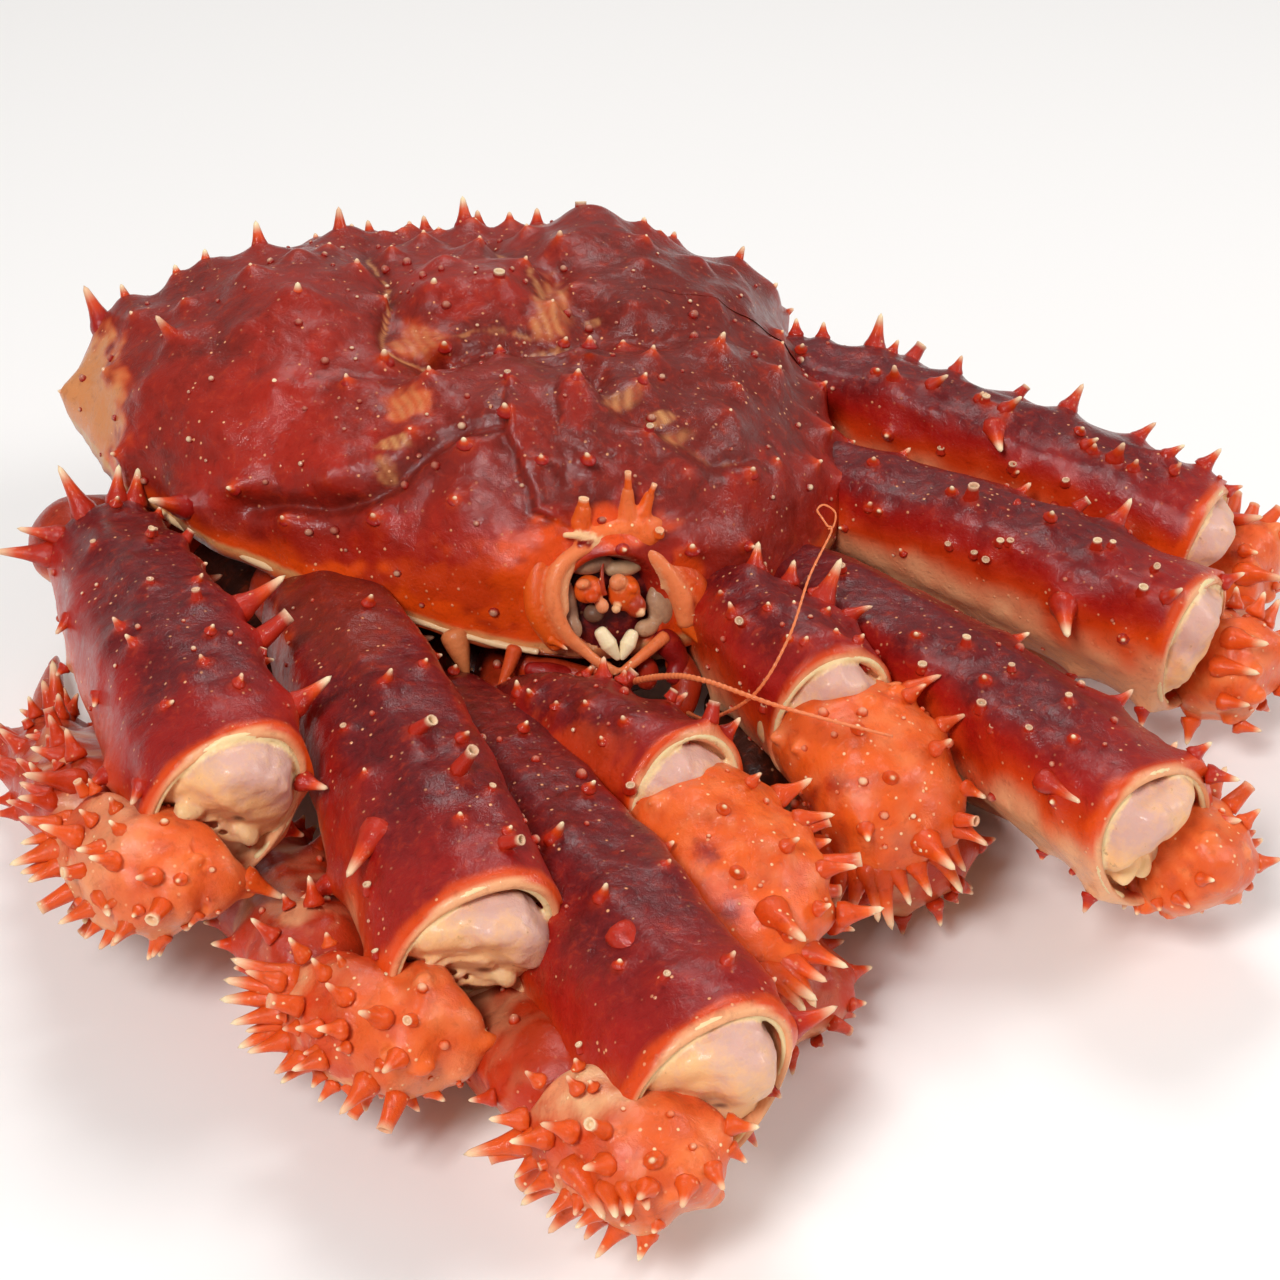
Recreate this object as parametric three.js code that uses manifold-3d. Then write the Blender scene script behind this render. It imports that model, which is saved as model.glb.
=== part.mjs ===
// A whole cooked red king crab, resting on its belly with its legs folded under its shell.
// Millimetres, +Z up. The crab faces -Y, its left side is +X, and it rests on z = 0.

import * as THREE from 'three';
import { mergeVertices } from 'three/addons/utils/BufferGeometryUtils.js';
import Module from 'manifold-3d';

const wasm = await Module();
wasm.setup();

// ---------------------------------------------------------------- driving sizes

// Moves the crab's own middle, under its heart region, to the middle of the whole outline.
const FRAME_SHIFT = new THREE.Vector3(-24.6, 75.2, 0);

// Clearance that neighbouring pieces keep.
const GAP = 0.35;
const THORN_SIDES = 4;

// Feelers and mouthparts, as the corners of bent routes, with their half width.
const FEELER_BASES = [
  { name: 'right_feeler_base', route: [[-24, -72, 47], [-15, -80, 47], [-6, -86, 46]], half: 3.4 },
  { name: 'left_feeler_base', route: [[13, -82, 47], [18, -87, 42], [11, -91, 36]], half: 3.6 },
];
const FEELERS = [
  {
    name: 'right_feeler', half: 0.9,
    route: [[-5, -90, 47], [-2, -112, 62], [2, -127, 69], [13, -147, 71], [32, -164, 69]],
  },
  {
    name: 'left_feeler', half: 0.8,
    route: [[12, -95, 38], [7, -120, 53], [10, -138, 70], [18, -138, 83], [27, -129, 92], [34, -125, 100]],
  },
];
const FEELER_STEPS = 12;

// The carapace: its centre, its outline as [degrees from +X, radius] for one half, and its heights.
// It leans a little to the crab's left, by SHELL_LEAN for each millimetre across.
const SHELL_CENTRE_Y = 8;
const SHELL_OUTLINE = [
  [-90, 92], [-57, 80], [-30, 80], [-3, 91], [17, 104], [35, 114], [57, 102], [90, 92],
];
const SHELL_MARGIN_HEIGHT = 52;
const SHELL_SIDE_RISE = 6;
const SHELL_REAR_RISE = 14;
const SHELL_ROOF_HEIGHT = 99;
const SHELL_ROOF_DROP = { across: 5.4, along: 6.2 };
const SHELL_UNDERSIDE_HEIGHT = 45;
const SHELL_LEAN = 0.067;
const SHELL_ROWS = 13;
const SHELL_COLUMNS = 26;

// Swellings and grooves of the roof: place, height, and spread across and along, mirrored in x.
const SHELL_RELIEF = [
  { x: 0, y: 25, height: 5, across: 15, along: 17 },
  { x: 0, y: -44, height: 6, across: 24, along: 20 },
  { x: 48, y: 36, height: 7, across: 24, along: 34 },
  { x: 52, y: -24, height: 3, across: 14, along: 16 },
  { x: 24, y: 18, height: -4, across: 7, along: 26 },
  { x: 22, y: -10, height: -5, across: 26, along: 7 },
];

// The face: an upright ring under the front of the roof, round the mouth.
const FACE_CENTRE = new THREE.Vector3(0, -82, 62);
const FACE_RING_RADIUS = 15;
const FACE_RING_TUBE = 4;
const FACE_RING_TALL = 1.2;
const MOUTH_OPENING = { behind: 7, half: [11.5, 16, 14.5] };
const MOUTH = { centre: [0, -77, 62], half: [10, 5, 13] };
const JAW = { centre: [5, -83.5, 65], half: [4.4, 3.4, 6] };
const TOOTH = { centre: [2.8, -83.5, 53], radius: 2, length: 8 };

// Single thorns over and beside the face: foot, direction and length.
const FACE_THORNS = [
  { foot: [1, -82, 85], way: [0.02, -0.25, 1], length: 15 },
  { foot: [8, -81, 84], way: [0.5, -0.25, 1], length: 11 },
  { foot: [-12, -79, 84], way: [-0.1, -0.2, 1], length: 9 },
  { foot: [-34, -57, 50], way: [0.05, -0.5, -1], length: 11 },
  { foot: [-22, -65, 49], way: [-0.4, -0.3, -1], length: 13 },
  { foot: [20, -77, 52], way: [0.25, -0.8, -0.5], length: 14 },
  { foot: [24, -74, 56], way: [0.9, -0.1, 0.45], length: 16 },
];

// The body under the carapace, and the abdomen that is folded flat under it.
const THORAX = { centre: [0, 8, 29], half: [66, 70, 23] };
const ABDOMEN = { route: [[0, 92, 44], [0, 88, -3], [0, -6, 2]], half: [36, 5] };

// Walking legs. Each comes out of the body at its hip, bows outwards, runs from its root to the knee,
// and folds back under itself: `fold` is how far the lower leg lies outside the upper one, `drop` how
// far below, `back` how far behind the knee it starts and `bulge` how far the elbow stands forward.
// Half sizes are those of the oval section: its long half, then its short one.
const UPPER_LEG_HALF = [23.5, 17.5];
const UPPER_LEG_LEAN = 34;
const UPPER_LEG_ARCH = 5;
const ELBOW_HALF = [14.5, 13.5];
const SHIN_HALF = [14, 12];
const TOE_HALF = [7.5, 6.5];
const HIP_HALF = [15, 13.5];
const LEGS = [
  {
    name: 'right_leg_3', hip: [-60, 34, 32], bow: 30, root: [-107, 12, 51], knee: [-108, -115, 54],
    fold: 23, drop: 13, back: 20, bulge: 12,
  },
  {
    name: 'right_leg_2', hip: [-52, -6, 31], bow: 6, root: [-62, -22, 48], knee: [-72, -178, 47],
    fold: 27, drop: 16, back: 20, bulge: 12,
  },
  {
    name: 'right_leg_1', hip: [-36, -38, 30], bow: 6, root: [-46, -62, 33], knee: [-41, -231, 42],
    fold: 20.5, drop: 9, back: 18, bulge: 10,
  },
  {
    name: 'left_leg_3', hip: [60, 34, 33], bow: 12, root: [86, 30, 56], knee: [170, -70, 36],
    fold: 22, drop: 17, back: 20, bulge: 14,
  },
  {
    name: 'left_leg_2', hip: [52, 0, 32], bow: 8, root: [66, -8, 49], knee: [139, -117, 41],
    fold: 23, drop: 18, back: 20, bulge: 14,
  },
  {
    name: 'left_leg_1', hip: [40, -30, 31], bow: 6, root: [52, -46, 42], knee: [89, -184, 40],
    fold: 17, drop: 15, back: 27, bulge: 6,
  },
];
const SHIN_LENGTH = 88;
const SHIN_END_HEIGHT = 7;
const TOE_LENGTH = 48;
const TOE_END_HEIGHT = 5;
const TOE_TURN_IN = 14;

// Claw arms, each bent down at the wrist so that the hand points back under the arm.
const ARM_HALF = [18.5, 17];
const WRIST_HALF = [17, 15.5];
const HAND_HALF = [17.5, 13];
const FINGER_HALF = [9.5, 5.5];
const FINGER_LIFT = { fixed: -5, moving: 6 };
const ARM_HIP_HALF = [13, 12.5];
const CLAWS = [
  {
    name: 'left_claw', hip: [16, -44, 33], root: [29, -70, 48], wrist: [35, -127, 51],
    elbow: [[35, -123, 46], [38, -149, 47], [42, -153, 32]],
    hand: [[45, -153, 25], [46, -132, 13], [44, -108, 11]], toe: [41, -72, 10],
  },
  {
    name: 'right_claw', hip: [-14, -44, 30], root: [-28, -78, 34], wrist: [-9, -143, 48],
    elbow: [[-9, -139, 43], [-8, -168, 46], [-4, -181, 30]],
    hand: [[-4, -184, 20], [-1, -166, 12], [3, -146, 11]], toe: [10, -108, 10],
  },
];

// ---------------------------------------------------------------- small tools

const vector = (place) => new THREE.Vector3(...place);
const fraction = (value) => value - Math.floor(value);
const mix = (a, b, share) => a + (b - a) * share;

// A repeatable number from 0 to 1 for one detail of one piece.
const scatter = (piece, detail) => fraction(Math.sin(piece * 127.1 + detail * 311.7) * 43758.5453);

// A smooth curve through [position, value] pairs, level at both ends.
function smoothTable(pairs, position) {
  const last = pairs.length - 1;
  if (position <= pairs[0][0]) return pairs[0][1];
  if (position >= pairs[last][0]) return pairs[last][1];
  const slope = (i) => {
    if (i === 0 || i === last) return 0;
    return (pairs[i + 1][1] - pairs[i - 1][1]) / (pairs[i + 1][0] - pairs[i - 1][0]);
  };
  const i = pairs.findIndex(([place]) => place > position) - 1;
  const width = pairs[i + 1][0] - pairs[i][0];
  const t = (position - pairs[i][0]) / width;
  const square = t * t;
  const cube = square * t;
  return (2 * cube - 3 * square + 1) * pairs[i][1]
    + (cube - 2 * square + t) * width * slope(i)
    + (3 * square - 2 * cube) * pairs[i + 1][1]
    + (cube - square) * width * slope(i + 1);
}

// A closed mesh as a solid, with its faces turned outwards.
function solidFrom(geometry) {
  const bare = geometry.index ? geometry.toNonIndexed() : geometry.clone();
  bare.deleteAttribute('normal');
  bare.deleteAttribute('uv');
  const merged = mergeVertices(bare, 1e-4);
  const places = merged.attributes.position.array;
  const corner = (i) => new THREE.Vector3().fromArray(places, 3 * i);
  const triangles = [];
  let volume = 0;
  for (let i = 0; i < merged.index.count; i += 3) {
    const [a, b, c] = [0, 1, 2].map((k) => merged.index.getX(i + k));
    if (a === b || b === c || c === a) continue;
    triangles.push([a, b, c]);
    volume += corner(a).dot(corner(b).cross(corner(c)));
  }
  const wound = volume > 0 ? triangles : triangles.map(([a, b, c]) => [a, c, b]);
  return new wasm.Manifold(new wasm.Mesh({
    numProp: 3,
    vertProperties: new Float32Array(places),
    triVerts: new Uint32Array(wound.flat()),
  }));
}

// The largest separate piece of a solid.
function largestPiece(solid) {
  const pieces = solid.decompose();
  return pieces.reduce((best, piece) => (piece.volume() > best.volume() ? piece : best));
}

function geometryFrom(solid) {
  const mesh = solid.getMesh();
  const geometry = new THREE.BufferGeometry();
  geometry.setAttribute('position', new THREE.BufferAttribute(new Float32Array(mesh.vertProperties), 3));
  geometry.setIndex(new THREE.BufferAttribute(new Uint32Array(mesh.triVerts), 1));
  geometry.computeVertexNormals();
  return geometry;
}

// Moves every vertex of a geometry by a rule from place to place.
function warp(geometry, rule) {
  const place = geometry.attributes.position;
  for (let i = 0; i < place.count; i += 1) {
    const moved = rule(new THREE.Vector3().fromBufferAttribute(place, i));
    place.setXYZ(i, moved.x, moved.y, moved.z);
  }
  return geometry;
}

// A rule that makes a thorn standing on a surface: a slim cone whose foot is sunk into the shell.
function thorn(foot, direction, length, radius) {
  const sunk = Math.min(3, length * 0.3);
  const upright = new THREE.Vector3(0, 1, 0);
  const turn = new THREE.Quaternion().setFromUnitVectors(upright, direction.clone().normalize());
  return (grow) => {
    const tall = length + sunk + 3 * grow;
    const cone = new THREE.ConeGeometry(radius + grow, tall, THORN_SIDES, 1);
    cone.translate(0, tall / 2 - sunk, 0).applyQuaternion(turn).translate(foot.x, foot.y, foot.z);
    return solidFrom(cone);
  };
}

// ---------------------------------------------------------------- limbs

// One segment of a limb: a curved tube of oval section. `path` is three points, `up` the way that
// the long half of the oval points, `half` its half sizes and `profile` its width along the path.
class Limb {
  constructor({ path, up, half, profile, sides }) {
    this.curve = new THREE.QuadraticBezierCurve3(...path);
    this.length = this.curve.getLength();
    this.up = up;
    this.half = half;
    this.profile = profile;
    this.sides = sides;
  }

  // The centre, and the section's long, short and forward directions.
  frame(t) {
    const inside = Math.min(1, Math.max(0, t));
    const forward = this.curve.getTangent(inside);
    const centre = this.curve.getPoint(inside).addScaledVector(forward, (t - inside) * this.length);
    const long = this.up.clone().addScaledVector(forward, -this.up.dot(forward)).normalize();
    const short = new THREE.Vector3().crossVectors(forward, long);
    return { centre, long, short, forward };
  }

  // A place on or in the segment; the angle turns from the long direction to the short one.
  place(t, angle, reach) {
    const { centre, long, short } = this.frame(t);
    return centre
      .addScaledVector(long, Math.cos(angle) * reach * this.half[0])
      .addScaledVector(short, Math.sin(angle) * reach * this.half[1]);
  }

  // The share of the half size that the segment has at t.
  width(t) {
    return smoothTable(this.profile.filter(([, , inner]) => !inner), t);
  }

  solid(grow = 0) {
    const lengthen = grow / this.length;
    const widen = grow / Math.min(...this.half);
    const outline = this.profile.map(([t, reach, inner]) => {
      const wider = reach + (inner ? -widen : widen);
      const end = Number(t > 0.95) - Number(t < 0.02);
      return new THREE.Vector2(reach > 0 ? wider : 0, t + end * lengthen);
    });
    const tube = new THREE.LatheGeometry(outline, this.sides);
    return solidFrom(warp(tube, ({ x, y, z }) => this.place(y, Math.atan2(x, z), Math.hypot(x, z))));
  }

  // Thorns in rows along the segment. A row is [degrees, count, from, to, length], with the angle
  // counted from the long direction, to the side that `turn` picks.
  thorns(rows, turn, seed, allowed) {
    const found = [];
    rows.forEach(([degrees, count, from, to, length], row) => {
      for (let i = 0; i < count; i += 1) {
        const key = row * 31 + i;
        const t = mix(from, to, count > 1 ? i / (count - 1) : 0.5) + (scatter(seed, key) - 0.5) * 0.05;
        const angle = turn * THREE.MathUtils.degToRad(degrees + (scatter(seed, key + 0.3) - 0.5) * 24);
        const { centre, forward } = this.frame(t);
        const foot = this.place(t, angle, this.width(t));
        const direction = foot.clone().sub(centre).normalize().addScaledVector(forward, 0.25).normalize();
        const reach = length * mix(0.75, 1.2, scatter(seed, key + 0.7));
        const tip = foot.clone().addScaledVector(direction, reach);
        if (allowed(tip)) found.push(thorn(foot, direction, reach, Math.max(1.5, reach * 0.27)));
      }
    });
    return found;
  }
}

// Widths along each kind of segment: [share of the length, share of the half size].
const UPPER_PROFILE = [
  [0, 0], [0, 0.5], [0.08, 0.7], [0.35, 0.86], [0.7, 0.97], [0.96, 0.95], [1.0, 0.87],
  [1.0, 0.8, 'inner'], [0.955, 0.74, 'inner'], [0.955, 0, 'inner'],
];
const MEMBRANE_PROFILE = [[0, 0], [0, 0.66], [0.6, 0.68], [0.88, 0.48], [1, 0]];
const ELBOW_PROFILE = [
  [-0.08, 0], [-0.03, 0.6], [0.15, 0.95], [0.5, 1.0], [0.8, 0.92], [1, 0.78], [1.03, 0],
];
const SHIN_PROFILE = [
  [-0.04, 0], [0, 0.7], [0.12, 0.95], [0.4, 1.0], [0.75, 0.84], [0.97, 0.68], [1.0, 0],
];
const ABDOMEN_PROFILE = [
  [-0.02, 0], [0, 0.7], [0.15, 0.9], [0.4, 1], [0.7, 0.85], [0.92, 0.45], [1, 0],
];
const TOE_PROFILE = [[-0.04, 0], [0.0, 0.8], [0.35, 0.75], [0.75, 0.42], [1.0, 0]];
const HIP_PROFILE = [[-0.05, 0], [0, 0.7], [0.4, 0.95], [0.75, 1.0], [1.0, 0.8], [1.04, 0]];
const HAND_PROFILE = [
  [-0.12, 0], [-0.07, 0.5], [0.1, 0.92], [0.4, 1.0], [0.8, 0.85], [1, 0.7], [1.03, 0],
];
const FEELER_BASE_PROFILE = [[-0.02, 0], [0, 0.85], [0.5, 1], [1, 0.85], [1.02, 0]];

// Thorn rows: [degrees, count, from, to, length]. The angle is counted from the crest of an upper
// leg towards the body, and from the outer side of an elbow towards its front.
const UPPER_THORNS = [
  [10, 3, 0.2, 0.8, 7], [70, 3, 0.3, 0.85, 8], [-45, 3, 0.15, 0.82, 8], [-85, 2, 0.35, 0.75, 8],
  [-20, 1, 0.96, 0.96, 8], [55, 1, 0.96, 0.96, 10],
];
const ELBOW_THORNS = [[-25, 2, 0.4, 0.8, 7], [15, 2, 0.3, 0.8, 8], [45, 1, 0.7, 0.7, 8]];
const SHIN_THORNS = [[-40, 2, 0.2, 0.7, 8], [-80, 3, 0.1, 0.85, 9]];
const ARM_THORNS = [[0, 3, 0.3, 0.85, 8], [70, 2, 0.4, 0.8, 8], [-70, 2, 0.3, 0.85, 8]];
const HAND_THORNS = [[90, 2, 0.0, 0.5, 9], [40, 2, 0.1, 0.7, 9], [140, 2, 0.1, 0.7, 9]];

const SKY = new THREE.Vector3(0, 0, 1);
const LEFT = new THREE.Vector3(1, 0, 0);

const raised = (place, height) => place.clone().addScaledVector(SKY, height);

// The three corners of a bent route from one place to another, bowed by `bow`.
const bowed = (from, to, bow) => [from, from.clone().lerp(to, 0.5).add(bow), to];

// The membrane that closes the end of an upper segment, round the same axis.
function kneeMembrane(upper, half) {
  const { centre, forward } = upper.frame(1);
  const path = [-3.5, -0.3, 3].map((step) => centre.clone().addScaledVector(forward, step));
  return new Limb({ path, up: upper.up, half, profile: MEMBRANE_PROFILE, sides: 10 });
}

// The segments of one walking leg.
function walkingLeg({ hip, bow, root, knee, fold, drop, back, bulge }) {
  const start = vector(root);
  const end = vector(knee);
  const side = Math.sign(root[0]);
  const along = end.clone().sub(start).setZ(0).normalize();
  const outward = new THREE.Vector3(-along.y, along.x, 0).multiplyScalar(side);
  const lean = THREE.MathUtils.degToRad(UPPER_LEG_LEAN);
  const up = outward.clone().multiplyScalar(-Math.sin(lean)).addScaledVector(SKY, Math.cos(lean));
  const upper = new Limb({
    path: bowed(start, end, SKY.clone().multiplyScalar(UPPER_LEG_ARCH)),
    up, half: UPPER_LEG_HALF, profile: UPPER_PROFILE, sides: 11,
  });

  // A place counted from another one: so far forward, so far outward and so high.
  const from = (place, forward, aside, height) => place.clone()
    .addScaledVector(along, forward).addScaledVector(outward, aside).setZ(height);
  const kneeFloor = end.clone().addScaledVector(up, -0.5 * UPPER_LEG_HALF[0]);
  const shinStart = from(end, -back, fold, end.z - drop);
  const shinEnd = from(shinStart, -SHIN_LENGTH, 0, SHIN_END_HEIGHT);
  const toeEnd = from(shinEnd, -TOE_LENGTH, -TOE_TURN_IN, TOE_END_HEIGHT);
  const elbowMiddle = from(kneeFloor, bulge, fold * 0.55, end.z - drop + 3);
  const hipMiddle = from(start, -0.8 * bow, bow, start.z);
  return {
    side,
    upper,
    membrane: kneeMembrane(upper, UPPER_LEG_HALF),
    elbow: new Limb({
      path: [from(kneeFloor, 7, 0, kneeFloor.z), elbowMiddle, shinStart],
      up: outward, half: ELBOW_HALF, profile: ELBOW_PROFILE, sides: 11,
    }),
    shin: new Limb({
      path: bowed(from(shinStart, -4, 0, shinStart.z), shinEnd, SKY.clone().multiplyScalar(-2)),
      up, half: SHIN_HALF, profile: SHIN_PROFILE, sides: 9,
    }),
    toe: new Limb({
      path: bowed(from(shinEnd, -1, 0, SHIN_END_HEIGHT), toeEnd, SKY.clone().multiplyScalar(2)),
      up: SKY, half: TOE_HALF, profile: TOE_PROFILE, sides: 7,
    }),
    hip: new Limb({
      path: [vector(hip), hipMiddle, from(start, -2, 0, start.z)],
      up: SKY, half: HIP_HALF, profile: HIP_PROFILE, sides: 7,
    }),
  };
}

// The segments of one claw arm.
function clawArm({ hip, root, wrist, elbow, hand, toe }) {
  const shoulder = vector(root);
  const shoulderInside = shoulder.clone().add(new THREE.Vector3(0, 2, 0));
  const upper = new Limb({
    path: bowed(shoulder, vector(wrist), SKY.clone().multiplyScalar(4)),
    up: SKY, half: ARM_HALF, profile: UPPER_PROFILE, sides: 11,
  });
  const finger = (lift, shortBy) => {
    const start = raised(vector(hand[2]), lift).add(new THREE.Vector3(0, -3, 0));
    const end = raised(vector(toe), lift * 0.4).add(new THREE.Vector3(0, -shortBy, 0));
    const path = bowed(start, end, SKY.clone().multiplyScalar(lift * 0.6));
    return new Limb({ path, up: LEFT, half: FINGER_HALF, profile: TOE_PROFILE, sides: 8 });
  };
  return {
    upper,
    membrane: kneeMembrane(upper, ARM_HALF),
    wrist: new Limb({
      path: elbow.map(vector), up: LEFT, half: WRIST_HALF, profile: ELBOW_PROFILE, sides: 10,
    }),
    palm: new Limb({
      path: hand.map(vector), up: LEFT, half: HAND_HALF, profile: HAND_PROFILE, sides: 9,
    }),
    fixedFinger: finger(FINGER_LIFT.fixed, 0),
    movingFinger: finger(FINGER_LIFT.moving, 4),
    hip: new Limb({
      path: bowed(vector(hip), shoulderInside, SKY.clone().multiplyScalar(2)),
      up: SKY, half: ARM_HIP_HALF, profile: HIP_PROFILE, sides: 7,
    }),
  };
}

// ---------------------------------------------------------------- carapace

function shellRadius(angle) {
  const degrees = THREE.MathUtils.radToDeg(angle);
  const folded = Math.abs(degrees) > 90 ? Math.sign(degrees) * (180 - Math.abs(degrees)) : degrees;
  return smoothTable(SHELL_OUTLINE, folded);
}

// Height of the roof above the ground, before it falls to the margin.
function roofHeight(x, y) {
  const lengthways = Math.abs((y - SHELL_CENTRE_Y) / 92);
  let height = SHELL_ROOF_HEIGHT - SHELL_ROOF_DROP.along * lengthways ** 3
    - SHELL_ROOF_DROP.across * (x / 95) ** 2;
  for (const { x: middle, y: row, height: rise, across, along } of SHELL_RELIEF) {
    height += rise * Math.exp(-(((Math.abs(x) - middle) / across) ** 2) - ((y - row) / along) ** 2);
  }
  return height;
}

// A place on the carapace: `around` from +X, `share` of the way out, on the roof or underside.
function shellPlace(around, share, above) {
  const radius = shellRadius(around) * share;
  const x = radius * Math.cos(around);
  const y = SHELL_CENTRE_Y + radius * Math.sin(around);
  const rear = Math.max(0, Math.sin(around)) ** 2;
  const margin = SHELL_MARGIN_HEIGHT + SHELL_SIDE_RISE * Math.cos(around) ** 2 + SHELL_REAR_RISE * rear;
  const lean = -SHELL_LEAN * x;
  if (!above) {
    return new THREE.Vector3(x, y, mix(SHELL_UNDERSIDE_HEIGHT, margin - 2, share ** 3) + lean);
  }
  const front = Math.max(0, -Math.sin(around)) ** 6;
  const steep = mix(3.2, 9, front);
  const fall = (1 - Math.min(1, share) ** steep) ** 0.5;
  return new THREE.Vector3(x, y, mix(margin, roofHeight(x, y), fall) + lean);
}

function shellSolid(grow = 0) {
  const ball = new THREE.SphereGeometry(1, SHELL_COLUMNS, SHELL_ROWS).rotateX(Math.PI / 2);
  return solidFrom(warp(ball, ({ x, y, z }) => {
    const around = Math.atan2(y, x);
    const place = shellPlace(around, Math.min(1, Math.hypot(x, y)), z >= -1e-6);
    return place.addScaledVector(new THREE.Vector3(x, y, z), grow);
  }));
}

// Thorns of the carapace, each row from one place to another: [x, y] to [x, y], count, length.
const SHELL_THORNS = [
  { from: [94, 60], to: [94, 10], count: 4, length: 11 },
  { from: [84, -8], to: [52, -50], count: 3, length: 8 },
  { from: [30, 86], to: [78, 66], count: 3, length: 9 },
  { from: [24, 62], to: [70, 44], count: 3, length: 9 },
  { from: [40, 34], to: [76, 18], count: 3, length: 9 },
  { from: [36, 10], to: [62, -8], count: 2, length: 8 },
  { from: [9, 40], to: [9, 12], count: 2, length: 7 },
  { from: [12, -34], to: [16, -62], count: 2, length: 7 },
  { from: [32, -30], to: [34, -58], count: 2, length: 6 },
];

function shellThorns() {
  const found = [];
  SHELL_THORNS.forEach(({ from, to, count, length }, row) => {
    for (const side of [-1, 1]) {
      for (let i = 0; i < count; i += 1) {
        const key = row * 31 + i;
        const share = count > 1 ? i / (count - 1) : 0.5;
        const x = side * (mix(from[0], to[0], share) + (scatter(side + 5, key) - 0.5) * 5);
        const y = mix(from[1], to[1], share) + (scatter(side + 5, key + 0.4) - 0.5) * 5;
        const around = Math.atan2(y - SHELL_CENTRE_Y, x);
        const out = Math.min(0.96, Math.hypot(x, y - SHELL_CENTRE_Y) / shellRadius(around));
        const foot = shellPlace(around, out, true);
        const slope = [0.02, -0.02].map((step) => shellPlace(around, out + step, true));
        const rise = slope[0].clone().sub(slope[1]);
        const sideways = new THREE.Vector3(-Math.sin(around), Math.cos(around), 0);
        const direction = new THREE.Vector3().crossVectors(rise, sideways).normalize();
        const reach = length * mix(0.8, 1.2, scatter(side + 9, key));
        found.push(thorn(foot, direction, reach, reach * 0.42));
      }
    }
  });
  return found;
}

// ---------------------------------------------------------------- face, belly and feelers

// The upright orange ring of shell round the mouth.
function faceRing(grow = 0) {
  const ring = new THREE.TorusGeometry(FACE_RING_RADIUS, FACE_RING_TUBE + grow, 6, 16);
  ring.rotateX(Math.PI / 2).scale(1, 1, FACE_RING_TALL);
  return solidFrom(ring.translate(...FACE_CENTRE));
}

function ovalBall(centre, half, columns = 12, rows = 8, grow = 0) {
  const size = half.map((reach) => reach + grow);
  return solidFrom(new THREE.SphereGeometry(1, columns, rows).scale(...size).translate(...centre));
}

// ---------------------------------------------------------------- assembly

const fused = (first, extras) => extras.reduce((whole, extra) => whole.add(extra), first);

const group = new THREE.Group();
const placed = [];
const GROUND = solidFrom(new THREE.BoxGeometry(900, 900, 60).translate(0, 0, -30));

function boxesMeet(one, other) {
  const a = one.boundingBox();
  const b = other.boundingBox();
  return [0, 1, 2].every((axis) => a.min[axis] <= b.max[axis] && b.min[axis] <= a.max[axis]);
}

// Adds a piece, from a rule that makes it at its own size or grown by the clearance, with its
// thorns. A piece gives way to those placed before it, and stands on the ground.
function addPiece(name, colour, roughness, make, thorns = []) {
  const whole = (grow) => fused(make(grow), thorns.map((grownThorn) => grownThorn(grow)));
  let solid = whole(0).subtract(GROUND);
  for (const other of placed) {
    if (boxesMeet(solid, other)) solid = solid.subtract(other);
  }
  placed.push(whole(GAP));
  const material = new THREE.MeshStandardMaterial({ color: colour, roughness, metalness: 0 });
  const mesh = new THREE.Mesh(geometryFrom(largestPiece(solid)).translate(...FRAME_SHIFT), material);
  mesh.name = name;
  group.add(mesh);
}

// Whether a thorn's tip stays out of every limb but its own, and off the ground.
function tipIsFree(own, limbs) {
  return (tip) => tip.z > 0.5 && limbs.every((limb) => {
    if (limb === own) return true;
    return [0, 0.125, 0.25, 0.375, 0.5, 0.625, 0.75, 0.875, 1].every((t) => {
      const { centre } = limb.frame(t);
      return tip.distanceTo(centre) > limb.half[0] * limb.width(t) + 1;
    });
  });
}

const SHELL_RED = '#8e1f1c';
const LEG_RED = '#9c231c';
const JOINT_ORANGE = '#d4521f';
const MEMBRANE_PINK = '#dba88c';
const BELLY_CREAM = '#d99a72';
const TOOTH_WHITE = '#f0ddc4';
const FEELER_ORANGE = '#d9622a';

// The carapace, with the ring round the face and the mouth's opening through both.
function shellWithFace(grow) {
  const { behind, half: [wide, deep, tall] } = MOUTH_OPENING;
  const opening = ovalBall([0, FACE_CENTRE.y - behind, FACE_CENTRE.z], [wide - grow, deep, tall - grow]);
  return shellSolid(grow).add(faceRing(grow)).subtract(opening);
}

function faceThorns() {
  return FACE_THORNS.map(({ foot, way, length }) => (
    thorn(vector(foot), vector(way), length, length * 0.2 + 0.6)
  ));
}

addPiece('carapace', SHELL_RED, 0.3, shellWithFace, [...shellThorns(), ...faceThorns()]);
addPiece('thorax', BELLY_CREAM, 0.5, (grow) => ovalBall(THORAX.centre, THORAX.half, 12, 6, grow));

const abdomen = new Limb({
  path: ABDOMEN.route.map(vector), up: LEFT, half: ABDOMEN.half, profile: ABDOMEN_PROFILE, sides: 12,
});

const legs = LEGS.map((leg) => ({ ...leg, ...walkingLeg(leg) }));
const claws = CLAWS.map((claw) => ({ ...claw, ...clawArm(claw) }));
const allLimbs = [
  ...legs.flatMap((leg) => [leg.upper, leg.elbow, leg.shin, leg.toe]),
  ...claws.flatMap((claw) => [claw.upper, claw.wrist, claw.palm]),
];

// Adds one segment, with thorns by its rows and with the segments in `extras` fused to it.
function addLimb(name, limb, colour, roughness, { rows = [], turn = 1, seed = 0, extras = [] } = {}) {
  const thorns = limb.thorns(rows, turn, seed, tipIsFree(limb, allLimbs));
  const make = (grow) => fused(limb.solid(grow), extras.map((extra) => extra.solid(grow)));
  addPiece(name, colour, roughness, make, thorns);
}

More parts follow.
